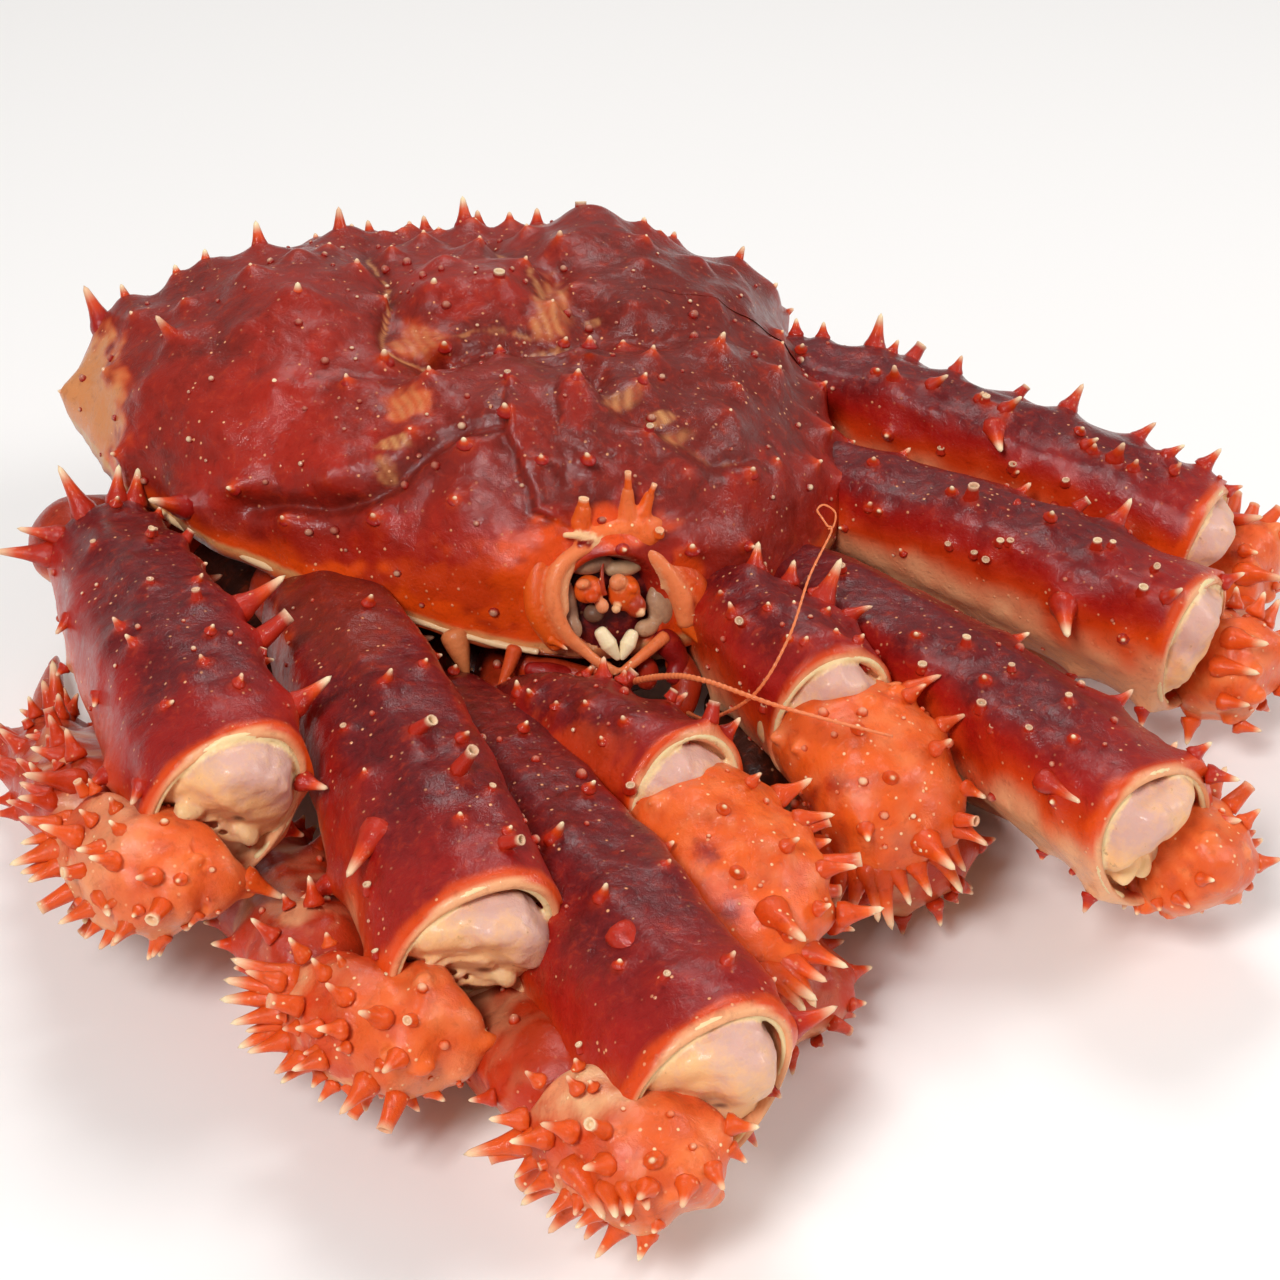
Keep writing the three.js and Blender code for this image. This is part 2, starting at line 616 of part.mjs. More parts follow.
addLimb('abdomen', abdomen, BELLY_CREAM, 0.5);
legs.forEach(({ name, upper, side }, i) => {
  addLimb(`${name}_upper`, upper, LEG_RED, 0.3, { rows: UPPER_THORNS, turn: side, seed: i });
});
claws.forEach(({ name, upper }, i) => {
  addLimb(`${name}_arm`, upper, LEG_RED, 0.3, { rows: ARM_THORNS, seed: i + 10 });
});
[...legs, ...claws].forEach(({ name, membrane }) => {
  addLimb(`${name}_membrane`, membrane, MEMBRANE_PINK, 0.45);
});
legs.forEach(({ name, elbow, side }, i) => {
  addLimb(`${name}_elbow`, elbow, JOINT_ORANGE, 0.3, { rows: ELBOW_THORNS, turn: side, seed: i + 20 });
});
claws.forEach(({ name, wrist }, i) => {
  addLimb(`${name}_wrist`, wrist, JOINT_ORANGE, 0.3, { rows: ELBOW_THORNS, seed: i + 30 });
});
claws.forEach(({ name, palm, fixedFinger, movingFinger }, i) => {
  addLimb(`${name}_hand`, palm, LEG_RED, 0.3, { rows: HAND_THORNS, seed: i + 40, extras: [fixedFinger] });
  addLimb(`${name}_finger`, movingFinger, JOINT_ORANGE, 0.3);
});
legs.forEach(({ name, shin, toe, side }, i) => {
  addLimb(`${name}_shin`, shin, LEG_RED, 0.3, { rows: SHIN_THORNS, turn: -side, seed: i + 50 });
  addLimb(`${name}_toe`, toe, JOINT_ORANGE, 0.3);
});
[...legs, ...claws].forEach(({ name, hip }) => addLimb(`${name}_hip`, hip, LEG_RED, 0.4));

// Mouthparts stand inside the face ring, feelers come out under it.
addPiece('mouth', BELLY_CREAM, 0.5, (grow) => ovalBall(MOUTH.centre, MOUTH.half, 8, 6, grow));
for (const [hand, side] of [['right', -1], ['left', 1]]) {
  const jawCentre = vector(JAW.centre).multiply(new THREE.Vector3(side, 1, 1));
  addPiece(`${hand}_jaw`, JOINT_ORANGE, 0.35, (grow) => ovalBall([...jawCentre], JAW.half, 7, 5, grow));
  const [toothX, toothY, toothZ] = TOOTH.centre;
  addPiece(`${hand}_tooth`, TOOTH_WHITE, 0.3, (grow) => {
    const cone = new THREE.ConeGeometry(TOOTH.radius + grow, TOOTH.length + 2 * grow, 6);
    return solidFrom(cone.rotateX(Math.PI).translate(side * toothX, toothY, toothZ));
  });
}

for (const { name, route, half } of FEELER_BASES) {
  const size = { half: [half, half], profile: FEELER_BASE_PROFILE, sides: 8 };
  addLimb(name, new Limb({ path: route.map(vector), up: SKY, ...size }), LEG_RED, 0.3);
}
for (const { name, route, half } of FEELERS) {
  addPiece(name, FEELER_ORANGE, 0.4, (grow) => {
    const section = new THREE.Shape().absarc(0, 0, half + grow, 0, 2 * Math.PI);
    const extrudePath = new THREE.CatmullRomCurve3(route.map(vector));
    const options = { steps: FEELER_STEPS, curveSegments: 3, extrudePath };
    return solidFrom(new THREE.ExtrudeGeometry(section, options));
  });
}

export default group;
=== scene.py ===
"""A whole cooked red king crab with its legs folded under it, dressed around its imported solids.

Shapes are worked out in millimetres in the crab's own frame, where the crab faces -Y, its left side is
+X and it rests on z = 0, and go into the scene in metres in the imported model's frame.
"""

import logging
import math
from collections.abc import Callable
from dataclasses import dataclass, field, replace
from enum import Enum, IntEnum

import bmesh
import bpy
import numpy as np
from mathutils import Matrix, Vector
from mathutils.kdtree import KDTree

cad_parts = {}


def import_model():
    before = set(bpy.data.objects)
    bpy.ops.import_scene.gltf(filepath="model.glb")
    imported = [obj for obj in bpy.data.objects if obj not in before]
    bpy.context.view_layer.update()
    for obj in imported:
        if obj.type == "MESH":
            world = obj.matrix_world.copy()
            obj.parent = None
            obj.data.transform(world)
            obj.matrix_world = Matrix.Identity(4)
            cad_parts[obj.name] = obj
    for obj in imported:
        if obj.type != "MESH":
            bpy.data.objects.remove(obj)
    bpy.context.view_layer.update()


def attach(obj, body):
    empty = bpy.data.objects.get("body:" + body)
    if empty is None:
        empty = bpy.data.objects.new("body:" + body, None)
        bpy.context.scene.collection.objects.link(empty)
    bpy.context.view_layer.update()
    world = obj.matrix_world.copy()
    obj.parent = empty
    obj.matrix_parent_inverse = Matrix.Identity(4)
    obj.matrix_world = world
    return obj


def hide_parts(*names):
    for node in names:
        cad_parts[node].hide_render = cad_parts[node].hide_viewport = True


log = logging.getLogger("king_crab")

MM = 0.001
GROUND = 0.05
FRAME_SHIFT = np.array((-24.6, 75.2, 0.0))
SKY = np.array((0.0, 0.0, 1.0))
LEFT = np.array((1.0, 0.0, 0.0))

Table = tuple[tuple[float, float], ...]
Place = tuple[float, float, float]
Pixel = tuple[float, float]
Mark = tuple[float, float, float, float]


# ---------------------------------------------------------------- small tools


def linear(colour: str) -> tuple[float, float, float, float]:
    """Turns an sRGB hex colour to a linear one.

    Args:
        colour: six hex digits after a hash sign.

    Returns:
        Red, green, blue and an alpha of 1.
    """
    parts = [int(colour[i : i + 2], 16) / 255 for i in (1, 3, 5)]
    red, green, blue = (p / 12.92 if p <= 0.04045 else ((p + 0.055) / 1.055) ** 2.4 for p in parts)
    return red, green, blue, 1.0


def rise(low: float, high: float, value: np.ndarray) -> np.ndarray:
    """Goes smoothly from 0 at `low` to 1 at `high`."""
    share = np.clip((value - low) / (high - low), 0.0, 1.0)
    return share * share * (3 - 2 * share)


def unit(vectors: np.ndarray) -> np.ndarray:
    """Scales one vector, or each row of an array, to length 1."""
    return vectors / np.maximum(np.linalg.norm(vectors, axis=-1, keepdims=True), 1e-9)


def scatter(piece: float, detail: float) -> float:
    """Gives a repeatable number from 0 to 1 for one detail of one piece."""
    value = math.sin(piece * 127.1 + detail * 311.7) * 43758.5453
    return value - math.floor(value)


def cloud(places: np.ndarray, size: float, seed: int = 0) -> np.ndarray:
    """Smooth noise from -1 to 1 over places in space.

    Args:
        places: rows of places in millimetres.
        size: distance between neighbouring lumps.
        seed: picks another pattern.

    Returns:
        One number for each place.
    """
    scaled = places / size
    corner = np.floor(scaled).astype(np.int64)
    share = scaled - corner
    share = share * share * (3 - 2 * share)
    total = np.zeros(len(places))
    for step in np.ndindex(2, 2, 2):
        cell = corner + np.array(step)
        code = cell[:, 0] * 73856093 ^ cell[:, 1] * 19349663 ^ cell[:, 2] * 83492791 ^ (seed * 40503 + 977)
        code = ((code ^ (code >> 13)) * 1274126177) & 0x7FFFFFFF
        code = (code ^ (code >> 15)) % 10007
        weight = np.prod(np.where(np.array(step), share, 1 - share), axis=1)
        total += weight * (code / 5003.0 - 1.0)
    return total


def smooth_table(pairs: Table, positions: np.ndarray) -> np.ndarray:
    """A smooth curve through a table, level at both ends and held beyond them.

    Args:
        pairs: positions, each with its value.
        positions: where the curve is read.

    Returns:
        The curve's value at each of them.
    """
    xs = np.array([x for x, _ in pairs])
    ys = np.array([y for _, y in pairs])
    slopes = np.zeros(len(xs))
    slopes[1:-1] = (ys[2:] - ys[:-2]) / (xs[2:] - xs[:-2])
    inside = np.clip(positions, xs[0], xs[-1])
    i = np.clip(np.searchsorted(xs, inside, side="right") - 1, 0, len(xs) - 2)
    width = xs[i + 1] - xs[i]
    t = (inside - xs[i]) / width
    square, cube = t * t, t * t * t
    return (
        (2 * cube - 3 * square + 1) * ys[i]
        + (cube - 2 * square + t) * width * slopes[i]
        + (3 * square - 2 * cube) * ys[i + 1]
        + (cube - square) * width * slopes[i + 1]
    )


def walked(steps: np.ndarray) -> np.ndarray:
    """How far along its length a row of steps starts and then ends each one."""
    return np.concatenate(((0,), np.cumsum(np.linalg.norm(steps, axis=1))))


def oval_distance(pixels: np.ndarray, centre: Pixel, half: Pixel) -> np.ndarray:
    """How far pixels are from the middle of an oval, where its edge is 1."""
    return np.linalg.norm((pixels - np.array(centre)) / np.array(half), axis=1)


# ---------------------------------------------------------------- blanks and pieces


class Coat(IntEnum):
    """What each channel of the shell's paint says, from 0 to 1."""

    HORN = 0
    ORANGE = 1
    DARK = 2
    PALE = 3


@dataclass
class Blank:
    """A flat grid that is rolled up and closed to a shape, and its paint.

    Each of its columns runs from the shape's lower pole to its upper one, and each row goes once round.
    """

    columns: int
    rows: int
    places: np.ndarray = field(init=False)
    paint: np.ndarray = field(init=False)

    def __post_init__(self) -> None:
        """Starts as a ball of radius 1, unpainted."""
        polar, around = math.pi * (1 - self.share()), self.around()
        self.places = np.stack(
            (np.sin(polar) * np.cos(around), np.sin(polar) * np.sin(around), np.cos(polar)), axis=-1
        )
        self.paint = np.zeros((len(self.places), 4))

    def row(self) -> np.ndarray:
        """The row of each vertex, counted from the lower pole."""
        return np.repeat(np.arange(self.rows + 1), self.columns + 1)

    def share(self) -> np.ndarray:
        """How far up each vertex is, from 0 at the lower pole to 1 at the upper one."""
        return self.row() / self.rows

    def around(self) -> np.ndarray:
        """The angle of each vertex about the shape's axis."""
        return np.tile(np.linspace(0, 2 * math.pi, self.columns + 1), self.rows + 1)

    def normals(self) -> np.ndarray:
        """Works out the outward direction at each vertex.

        Returns:
            The directions, as rows.
        """
        rings = self.places.reshape(self.rows + 1, self.columns + 1, 3)[:, :-1]
        onwards = np.roll(rings, -1, axis=1) - np.roll(rings, 1, axis=1)
        outwards = unit(np.cross(onwards, np.gradient(rings, axis=0)))
        outwards[0] = outwards[1].mean(axis=0)
        outwards[-1] = outwards[-2].mean(axis=0)
        return unit(np.concatenate((outwards, outwards[:, :1]), axis=1)).reshape(-1, 3)

    def coat(self, **paint: float | np.ndarray) -> "Blank":
        """Paints the blank.

        Args:
            paint: how strong each channel is, by its name in small letters.

        Returns:
            The blank itself.
        """
        for channel, value in paint.items():
            self.paint[:, Coat[channel.upper()]] = value
        return self

    def deepen(self, channel: Coat, value: float | np.ndarray) -> None:
        """Raises a channel of the paint to a value wherever it is weaker."""
        self.paint[:, channel] = np.maximum(self.paint[:, channel], value)


def link_object(name: str, data: bpy.types.ID) -> bpy.types.Object:
    """Makes an object and puts it into the scene.

    Args:
        name: the object's name.
        data: its mesh, camera or light.

    Returns:
        The object.
    """
    made = bpy.data.objects.new(name, data)
    bpy.context.scene.collection.objects.link(made)
    return made


def write_mesh(mesh: bpy.types.Mesh, places: np.ndarray, paint: np.ndarray) -> None:
    """Moves a mesh's vertices to places in metres and stores their paint.

    Args:
        mesh: the mesh.
        places: one place for each vertex.
        paint: the four channels of each vertex.
    """
    mesh.vertices.foreach_set("co", places.astype(np.float32).ravel())
    colours = mesh.attributes.new("paint", "FLOAT_COLOR", "POINT")
    colours.data.foreach_set("color", paint.astype(np.float32).ravel())


SEAM_GAP = 1e-7
NEAREST_BLANK_PLACES = 4


def mesh_of(blanks: list[Blank], name: str) -> bpy.types.Mesh:
    """Makes one mesh of shaped blanks, in metres.

    Args:
        blanks: the blanks.
        name: the mesh's name.

    Returns:
        The mesh, closed along each blank's seam and at its poles, with its paint in an attribute.
    """
    shape = bmesh.new()
    for blank in blanks:
        bmesh.ops.create_grid(shape, x_segments=blank.columns, y_segments=blank.rows, size=1.0)
    mesh = bpy.data.meshes.new(name)
    shape.to_mesh(mesh)
    places = np.concatenate([blank.places for blank in blanks])
    places[:, 2] = np.maximum(places[:, 2], GROUND)
    write_mesh(mesh, (places + FRAME_SHIFT) * MM, np.concatenate([blank.paint for blank in blanks]))
    shape.clear()
    shape.from_mesh(mesh)
    seams = [vert for vert in shape.verts if vert.is_boundary]
    bmesh.ops.remove_doubles(shape, verts=seams, dist=SEAM_GAP)
    shape.to_mesh(mesh)
    shape.free()
    return mesh


def fused(blanks: list[Blank], name: str, grain: float, rounds: int) -> bpy.types.Mesh:
    """Melts shaped blanks that overlap into one skin, as soft flesh grows together.

    Args:
        blanks: the closed shapes.
        name: the mesh's name.
        grain: size of the faces in millimetres.
        rounds: how many times the skin is smoothed.

    Returns:
        One closed mesh in metres, painted like the nearest places of the blanks.
    """
    clay = link_object(f"{name}_clay", mesh_of(blanks, f"{name}_clay"))
    remesh = clay.modifiers.new("melt", "REMESH")
    remesh.mode = "VOXEL"
    remesh.voxel_size = grain * MM
    mesh = bpy.data.meshes.new_from_object(clay.evaluated_get(bpy.context.evaluated_depsgraph_get()))
    bpy.data.objects.remove(clay)
    shape = bmesh.new()
    shape.from_mesh(mesh)
    for _ in range(rounds):
        bmesh.ops.smooth_vert(
            shape, verts=shape.verts, factor=0.5, use_axis_x=True, use_axis_y=True, use_axis_z=True
        )
    places = np.array([vert.co for vert in shape.verts])
    places[:, 2] = np.maximum(places[:, 2], GROUND * MM)
    shape.to_mesh(mesh)
    shape.free()
    sources = (np.concatenate([blank.places for blank in blanks]) + FRAME_SHIFT) * MM
    colours = np.concatenate([blank.paint for blank in blanks])
    tree = KDTree(len(sources))
    for number, place in enumerate(sources):
        tree.insert(place, number)
    tree.balance()
    found = [[number for _, number, _ in tree.find_n(place, NEAREST_BLANK_PLACES)] for place in places]
    for stale in [attribute for attribute in mesh.attributes if attribute.name == "paint"]:
        mesh.attributes.remove(stale)
    write_mesh(mesh, places, colours[np.array(found)].mean(axis=1))
    return mesh


def add_piece(
    blanks: list[Blank], name: str, finish: bpy.types.Material, slot: str, *nodes: str,
    skin: bpy.types.Mesh | None = None,
) -> None:  # fmt: skip
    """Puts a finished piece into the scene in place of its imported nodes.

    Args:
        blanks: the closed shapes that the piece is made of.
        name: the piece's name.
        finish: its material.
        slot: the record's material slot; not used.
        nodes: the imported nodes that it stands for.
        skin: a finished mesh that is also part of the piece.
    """
    mesh = mesh_of(blanks, name) if blanks else skin
    if blanks and skin:
        shape = bmesh.new()
        shape.from_mesh(mesh)
        shape.from_mesh(skin)
        shape.to_mesh(mesh)
        shape.free()
    mesh.shade_smooth()
    mesh.materials.clear()
    mesh.materials.append(finish)
    piece = link_object(name, mesh)
    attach(piece, "root")
    if nodes:
        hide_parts(*nodes)
    log.info("%s: %d faces", name, len(mesh.polygons))


def along_route(route: list[np.ndarray], share: np.ndarray) -> tuple[np.ndarray, np.ndarray, float]:
    """Follows a smooth curve through a route's places.

    Args:
        route: the places.
        share: how far along the route to stand, from 0 to 1.

    Returns:
        The places on the curve, the forward directions there and the route's length.
    """
    points = np.array(route, dtype=float)
    lengths = walked(np.diff(points, axis=0))
    stand = share * lengths[-1]
    i = np.clip(np.searchsorted(lengths, stand, side="right") - 1, 0, len(points) - 2)
    t = ((stand - lengths[i]) / (lengths[i + 1] - lengths[i]))[:, None]
    before, after = points[np.clip(i - 1, 0, None)], points[np.clip(i + 2, None, len(points) - 1)]
    p1, p2 = points[i], points[i + 1]
    first, second, third = p2 - before, 2 * before - 5 * p1 + 4 * p2 - after, 3 * p1 - before - 3 * p2 + after
    centre = 0.5 * (2 * p1 + first * t + second * t**2 + third * t**3)
    return centre, unit(first + 2 * second * t + 3 * third * t**2), float(lengths[-1])


# A direction that no route follows, from which the angles round it are counted.
ROUTE_SIDE = np.array((0.75, 0.6, 0.28))


def swept(centre: np.ndarray, forward: np.ndarray, reach: np.ndarray, around: np.ndarray) -> np.ndarray:
    """Places round a route.

    Args:
        centre: the route's places.
        forward: its directions there.
        reach: how far from them to go.
        around: at which angle about the route.

    Returns:
        One place for each of the route's.
    """
    side = unit(np.cross(forward, ROUTE_SIDE))
    other = np.cross(forward, side)
    return centre + reach[:, None] * (np.cos(around)[:, None] * side + np.sin(around)[:, None] * other)


def tube(
    route: list[np.ndarray], radii: tuple[float, ...], columns: int = 16, rows: int = 60, **paint: float
) -> Blank:
    """A tube along a smooth route, rounded at both ends and painted all over.

    Args:
        route: the places that it passes.
        radii: its thickness at even steps from start to end.
        columns: faces round it.
        rows: faces along it.
        paint: how strong each channel of the paint is.

    Returns:
        The tube.
    """
    blank = Blank(columns, rows)
    share, around = blank.share(), blank.around()
    centre, forward, length = along_route(route, share)
    thick = np.interp(share, np.linspace(0, 1, len(radii)), radii)
    from_end = np.clip(np.minimum(share, 1 - share) * length / thick, 0, 1)
    blank.places = swept(centre, forward, thick * np.sqrt(1 - (1 - from_end) ** 2), around)
    return blank.coat(**paint)


# ---------------------------------------------------------------- camera


@dataclass(frozen=True)
class StudioCamera:
    """The camera: where it looks, from which side, how far away and how long its lens is."""

    target: Place = (11.05, -66.3, 42.5)
    azimuth: float = -22.0
    elevation: float = 32.0
    distance: float = 748.0
    frame: float = 1280.0
    focal: float = 3000.0
    sensor_mm: float = 36.0
    clip_m: tuple[float, float] = (0.01, 20.0)

    def axes(self) -> np.ndarray:
        """Works out how the camera is turned.

        Returns:
            Its right, up and back directions, as rows.
        """
        turn, lift = math.radians(self.azimuth), math.radians(self.elevation)
        back = np.array((math.sin(turn) * math.cos(lift), -math.cos(turn) * math.cos(lift), math.sin(lift)))
        right = unit(np.cross(SKY, back))
        return np.array((right, np.cross(back, right), back))

    def place(self) -> np.ndarray:
        """Where the camera stands."""
        return np.array(self.target) + self.axes()[2] * self.distance

    def pixels(self, places: np.ndarray) -> np.ndarray:
        """Finds where places show in the square frame.

        Args:
            places: rows of places.

        Returns:
            Their pixels, counted from the frame's upper left corner.
        """
        seen = (places - self.place()) @ self.axes().T
        flat = seen[..., :2] * (self.focal / -seen[..., 2:3])
        return self.frame / 2 + flat * np.array((1, -1))

    def facing(self, places: np.ndarray, normals: np.ndarray) -> np.ndarray:
        """How squarely each surface place faces the camera, from 1 down to -1 for its back."""
        return (normals * unit(self.place() - places)).sum(axis=-1)

    def step_mm(self, place: np.ndarray, pixels: Pixel) -> np.ndarray:
        """Turns a step of the frame to one in space.

        Args:
            place: where the step starts.
            pixels: how far it goes to the right and down.

        Returns:
            The step beside the view that moves the place by so many pixels.
        """
        right, up, back = self.axes()
        depth = float((self.place() - place) @ back)
        return (right * pixels[0] - up * pixels[1]) * depth / self.focal

    def on_plane(self, pixel: Pixel, place: np.ndarray, normal: np.ndarray) -> np.ndarray:
        """Finds the place on a plane that shows at a pixel.

        Args:
            pixel: the pixel.
            place: a place on the plane.
            normal: the direction square to the plane.

        Returns:
            The place.
        """
        right, up, back = self.axes()
        aside, below = (np.array(pixel) - self.frame / 2) / self.focal
        ray = right * aside - up * below - back
        return self.place() + ray * float((place - self.place()) @ normal / (ray @ normal))

    def build(self) -> None:
        """Adds the camera to the scene and makes it the one in use."""
        data = bpy.data.cameras.new("studio_camera")
        data.sensor_width = self.sensor_mm
        data.lens = self.sensor_mm * self.focal / self.frame
        data.clip_start, data.clip_end = self.clip_m
        camera = link_object("studio_camera", data)
        right, up, back = (Vector(axis) for axis in self.axes())
        turn = Matrix((right, up, back)).transposed().to_4x4()
        camera.matrix_world = Matrix.Translation(Vector((self.place() + FRAME_SHIFT) * MM)) @ turn
        bpy.context.scene.camera = camera


VIEW = StudioCamera()


# ---------------------------------------------------------------- spines


class SpineTip(Enum):
    """How a spine ends."""

    WHOLE = "whole"
    BROKEN = "broken"
    STUD = "stud"


# A tent's height and width: what it has at least, and what each millimetre of the spine adds.
TENT_HEIGHT = (1.5, 0.4)
TENT_WIDTH = (1.9, 0.26)
TENT_LONGEST = 8.0
SPINE_RADIUS = 0.13
SHORTEST_HORN = 1.7


def stoutness(length: float, least: float = 0.8) -> float:
    """How thick the foot of a spine of some length is."""
    return SPINE_RADIUS * length + least


@dataclass(frozen=True)
class Spine:
    """One spine: a horn on a tent of shell, a broken hollow stump, or a low stud."""

    foot: np.ndarray
    way: np.ndarray
    length: float
    radius: float
    tip: SpineTip = SpineTip.WHOLE
    lean: float = 0.0
    pale: float = 1.0
    broad: float = 1.0

    def tent(self) -> tuple[float, float]:
        """Measures the tent of shell that the spine stands on.

        Returns:
            Its height and its width.
        """
        size = min(self.length, TENT_LONGEST)
        height, width = TENT_HEIGHT[0] + TENT_HEIGHT[1] * size, TENT_WIDTH[0] + TENT_WIDTH[1] * size
        return self.broad * height, self.broad * width

    def raised(self) -> "Spine":
        """Lifts the spine on to its tent.

        Returns:
            The spine as it stands there, which is shorter by half the tent. A stud stays as it is.
        """
        if self.tip is SpineTip.STUD:
            return self
        height = self.tent()[0]
        length = max(self.length - 0.5 * height, SHORTEST_HORN)
        return replace(self, foot=self.foot + 0.7 * height * unit(self.way), length=length)

    def outline(self, share: np.ndarray) -> tuple[np.ndarray, np.ndarray]:
        """Draws the spine's side view.

        Args:
            share: how far up the blank, from 0 to 1.

        Returns:
            Height and thickness there, as shares of the spine's length and radius.
        """
        if self.tip is SpineTip.BROKEN:
            height = np.interp(share, (0, 0.5, 0.62, 0.7, 0.8, 1), (-0.3, 0.7, 0.86, 0.86, 0.72, 0.6))
            thick = np.interp(share, (0, 0.05, 0.5, 0.62, 0.7, 0.8, 0.97, 1), (1.2, 1.2, 0.75, 0.78, 0.6, 0.45, 0.4, 0))
        elif self.tip is SpineTip.STUD:
            height = -0.4 + 1.4 * np.sin(share * math.pi / 2)
            thick = np.cos(share * math.pi / 2) ** 0.7
        else:
            height = -0.3 + 1.3 * share**1.1
            level = np.clip(height, 0, 1)
            thick = np.interp(level, (0, 0.15, 0.4, 0.7, 0.9, 1), (1.3, 0.98, 0.66, 0.43, 0.27, 0.14))
        thick = np.where((share < 1e-4) | (share > 1 - 1e-4), 0, thick)
        return height, thick

    def blank(self) -> Blank:
        """Shapes and paints the spine.

        Returns:
            A closed shape with its foot sunk into the shell.
        """
        small = self.tip is SpineTip.STUD
        blank = Blank(8 if small else 10, 6 if small else 13)
        share, around = blank.share(), blank.around()
        height, thick = self.outline(share)
        level = np.clip(height, 0, 1)
        way = unit(self.way)
        side = unit(np.cross(way, SKY + np.array((0.1, 0.03, 0))))
        other = np.cross(way, side)
        bend = (self.lean * self.length * level**2)[:, None] * (side + other) * 0.7
        across = np.cos(around)[:, None] * side + np.sin(around)[:, None] * other
        thick = thick * (1 + 0.1 * np.cos(2 * around + 9 * self.lean))
        rod = self.foot + (height * self.length)[:, None] * way
        blank.places = rod + (self.radius * thick)[:, None] * across + bend
        # Painted shade: the hollow top of a broken stump is painted dark.
        if self.tip is SpineTip.BROKEN:
            return blank.coat(horn=0.75 * self.pale * rise(0.45, 0.62, share), dark=rise(0.78, 0.9, share))
        if small:
            return blank.coat(horn=self.pale * rise(0.35, 0.95, level))
        orange = 0.9 * (0.3 + 0.7 * self.pale) * rise(0.12, 0.55, level)
        return blank.coat(horn=self.pale * rise(0.52, 0.92, level), orange=orange)


def tents(places: np.ndarray, normals: np.ndarray, spines: list[Spine]) -> tuple[np.ndarray, np.ndarray]:
    """The rise of the shell towards its spines.

    Args:
        places: the shell's places.
        normals: its outward directions.
        spines: what stands on it.

    Returns:
        How each place moves, and how far up a tent it is, from 0 to 1.
    """
    lean = np.zeros_like(places)
    power = np.zeros(len(places))
    level = np.zeros(len(places))
    for spine in spines:
        if spine.tip is SpineTip.STUD:
            continue
        height, width = spine.tent()
        away = np.linalg.norm(places - spine.foot, axis=1)
        near = np.exp(-away / width) * np.clip(normals @ unit(spine.way) * 2 + 0.6, 0, 1)
        share = (height * near) ** 3
        power += share
        lean += share[:, None] * unit(spine.way)
        level = np.maximum(level, near)
    return np.cbrt(power)[:, None] * unit(lean), level


# A spine that sticks out past the shell's outline is moved on to the shell, to within so many pixels.
OUTLINE_GAP = 5.0
HIDDEN = 1e4


@dataclass(frozen=True)
class SeenSpine:
    """A spine placed by where its foot and its tip show in the camera's frame."""

    foot: Pixel
    tip: Pixel
    end: SpineTip = SpineTip.WHOLE

    def spine(self, places: np.ndarray, normals: np.ndarray, facing: np.ndarray, seed: int) -> Spine:
        """The spine, standing on the shell's place that shows nearest to its foot.

        Args:
            places: the shell's places.
            normals: its outward directions.
            facing: how squarely each place faces the camera.
            seed: makes its details its own.

        Returns:
            The spine.
        """
        pixels = VIEW.pixels(places) + np.where(facing > -0.05, 0, HIDDEN)[:, None]
        foot, tip = np.array(self.foot, float), np.array(self.tip, float)

        def gap(spot: np.ndarray) -> float:
            """How far a pixel is from the shell, in pixels."""
            return float(np.hypot(*(pixels - spot).T).min())

        if gap(tip) > OUTLINE_GAP:
            step = 0.15 * (tip - foot)
            for _ in range(4):
                if gap(foot + step) < OUTLINE_GAP:
                    foot, tip = foot + step, tip + 0.7 * step
        k = int(np.argmin(np.hypot(*(pixels - foot).T)))
        beside = VIEW.step_mm(places[k], tip - VIEW.pixels(places[k]))
        back = VIEW.axes()[2]
        towards = float(normals[k] @ back)
        level = max(math.sqrt(max(1 - towards * towards, 0)), 0.3)
        way = beside + back * float(np.clip(towards / level, -0.5, 1.3)) * np.linalg.norm(beside)
        length = float(np.clip(np.linalg.norm(way), 2.4, 15.0))
        return Spine(
            places[k], unit(way), length, stoutness(length), self.end,
            lean=0.16 * (scatter(seed, 1.7) - 0.5), pale=0.6 + 0.4 * scatter(seed, 2.9),
        )  # fmt: skip


def seen(rows: str, broken: str = "") -> tuple[SeenSpine, ...]:
    """Reads spines from text, with four numbers for each: the pixel of its foot, then that of its tip.

    Args:
        rows: the spines that are whole.
        broken: those whose tips are broken off.

    Returns:
        All of them.
    """
    found = []
    for text, end in ((rows, SpineTip.WHOLE), (broken, SpineTip.BROKEN)):
        for foot_x, foot_y, tip_x, tip_y in np.array(text.split(), float).reshape(-1, 4):
            found.append(SeenSpine((foot_x, foot_y), (tip_x, tip_y), end))
    return tuple(found)


STUD_GAP = 3.5


def studs(places: np.ndarray, normals: np.ndarray, usable: np.ndarray, count: int, seed: int) -> list[Spine]:
    """Low studs scattered over part of a shell, never close to each other.

    Args:
        places: the shell's places.
        normals: its outward directions.
        usable: which places may carry one.
        count: how many are tried.
        seed: picks the scatter.

    Returns:
        The studs.
    """
    rng = np.random.default_rng(seed)
    choices = np.flatnonzero(usable)
    found: list[Spine] = []
    for k in rng.choice(choices, size=min(count, len(choices)), replace=False):
        if all(np.linalg.norm(places[k] - other.foot) > STUD_GAP for other in found):
            tall = 0.5 + 1.3 * rng.random() ** 3
            pale = 0.15 + 0.6 * rng.random() ** 2
            found.append(Spine(places[k], normals[k], tall, 0.7 * tall + 0.25, SpineTip.STUD, pale=pale))
    return found


# ---------------------------------------------------------------- limbs

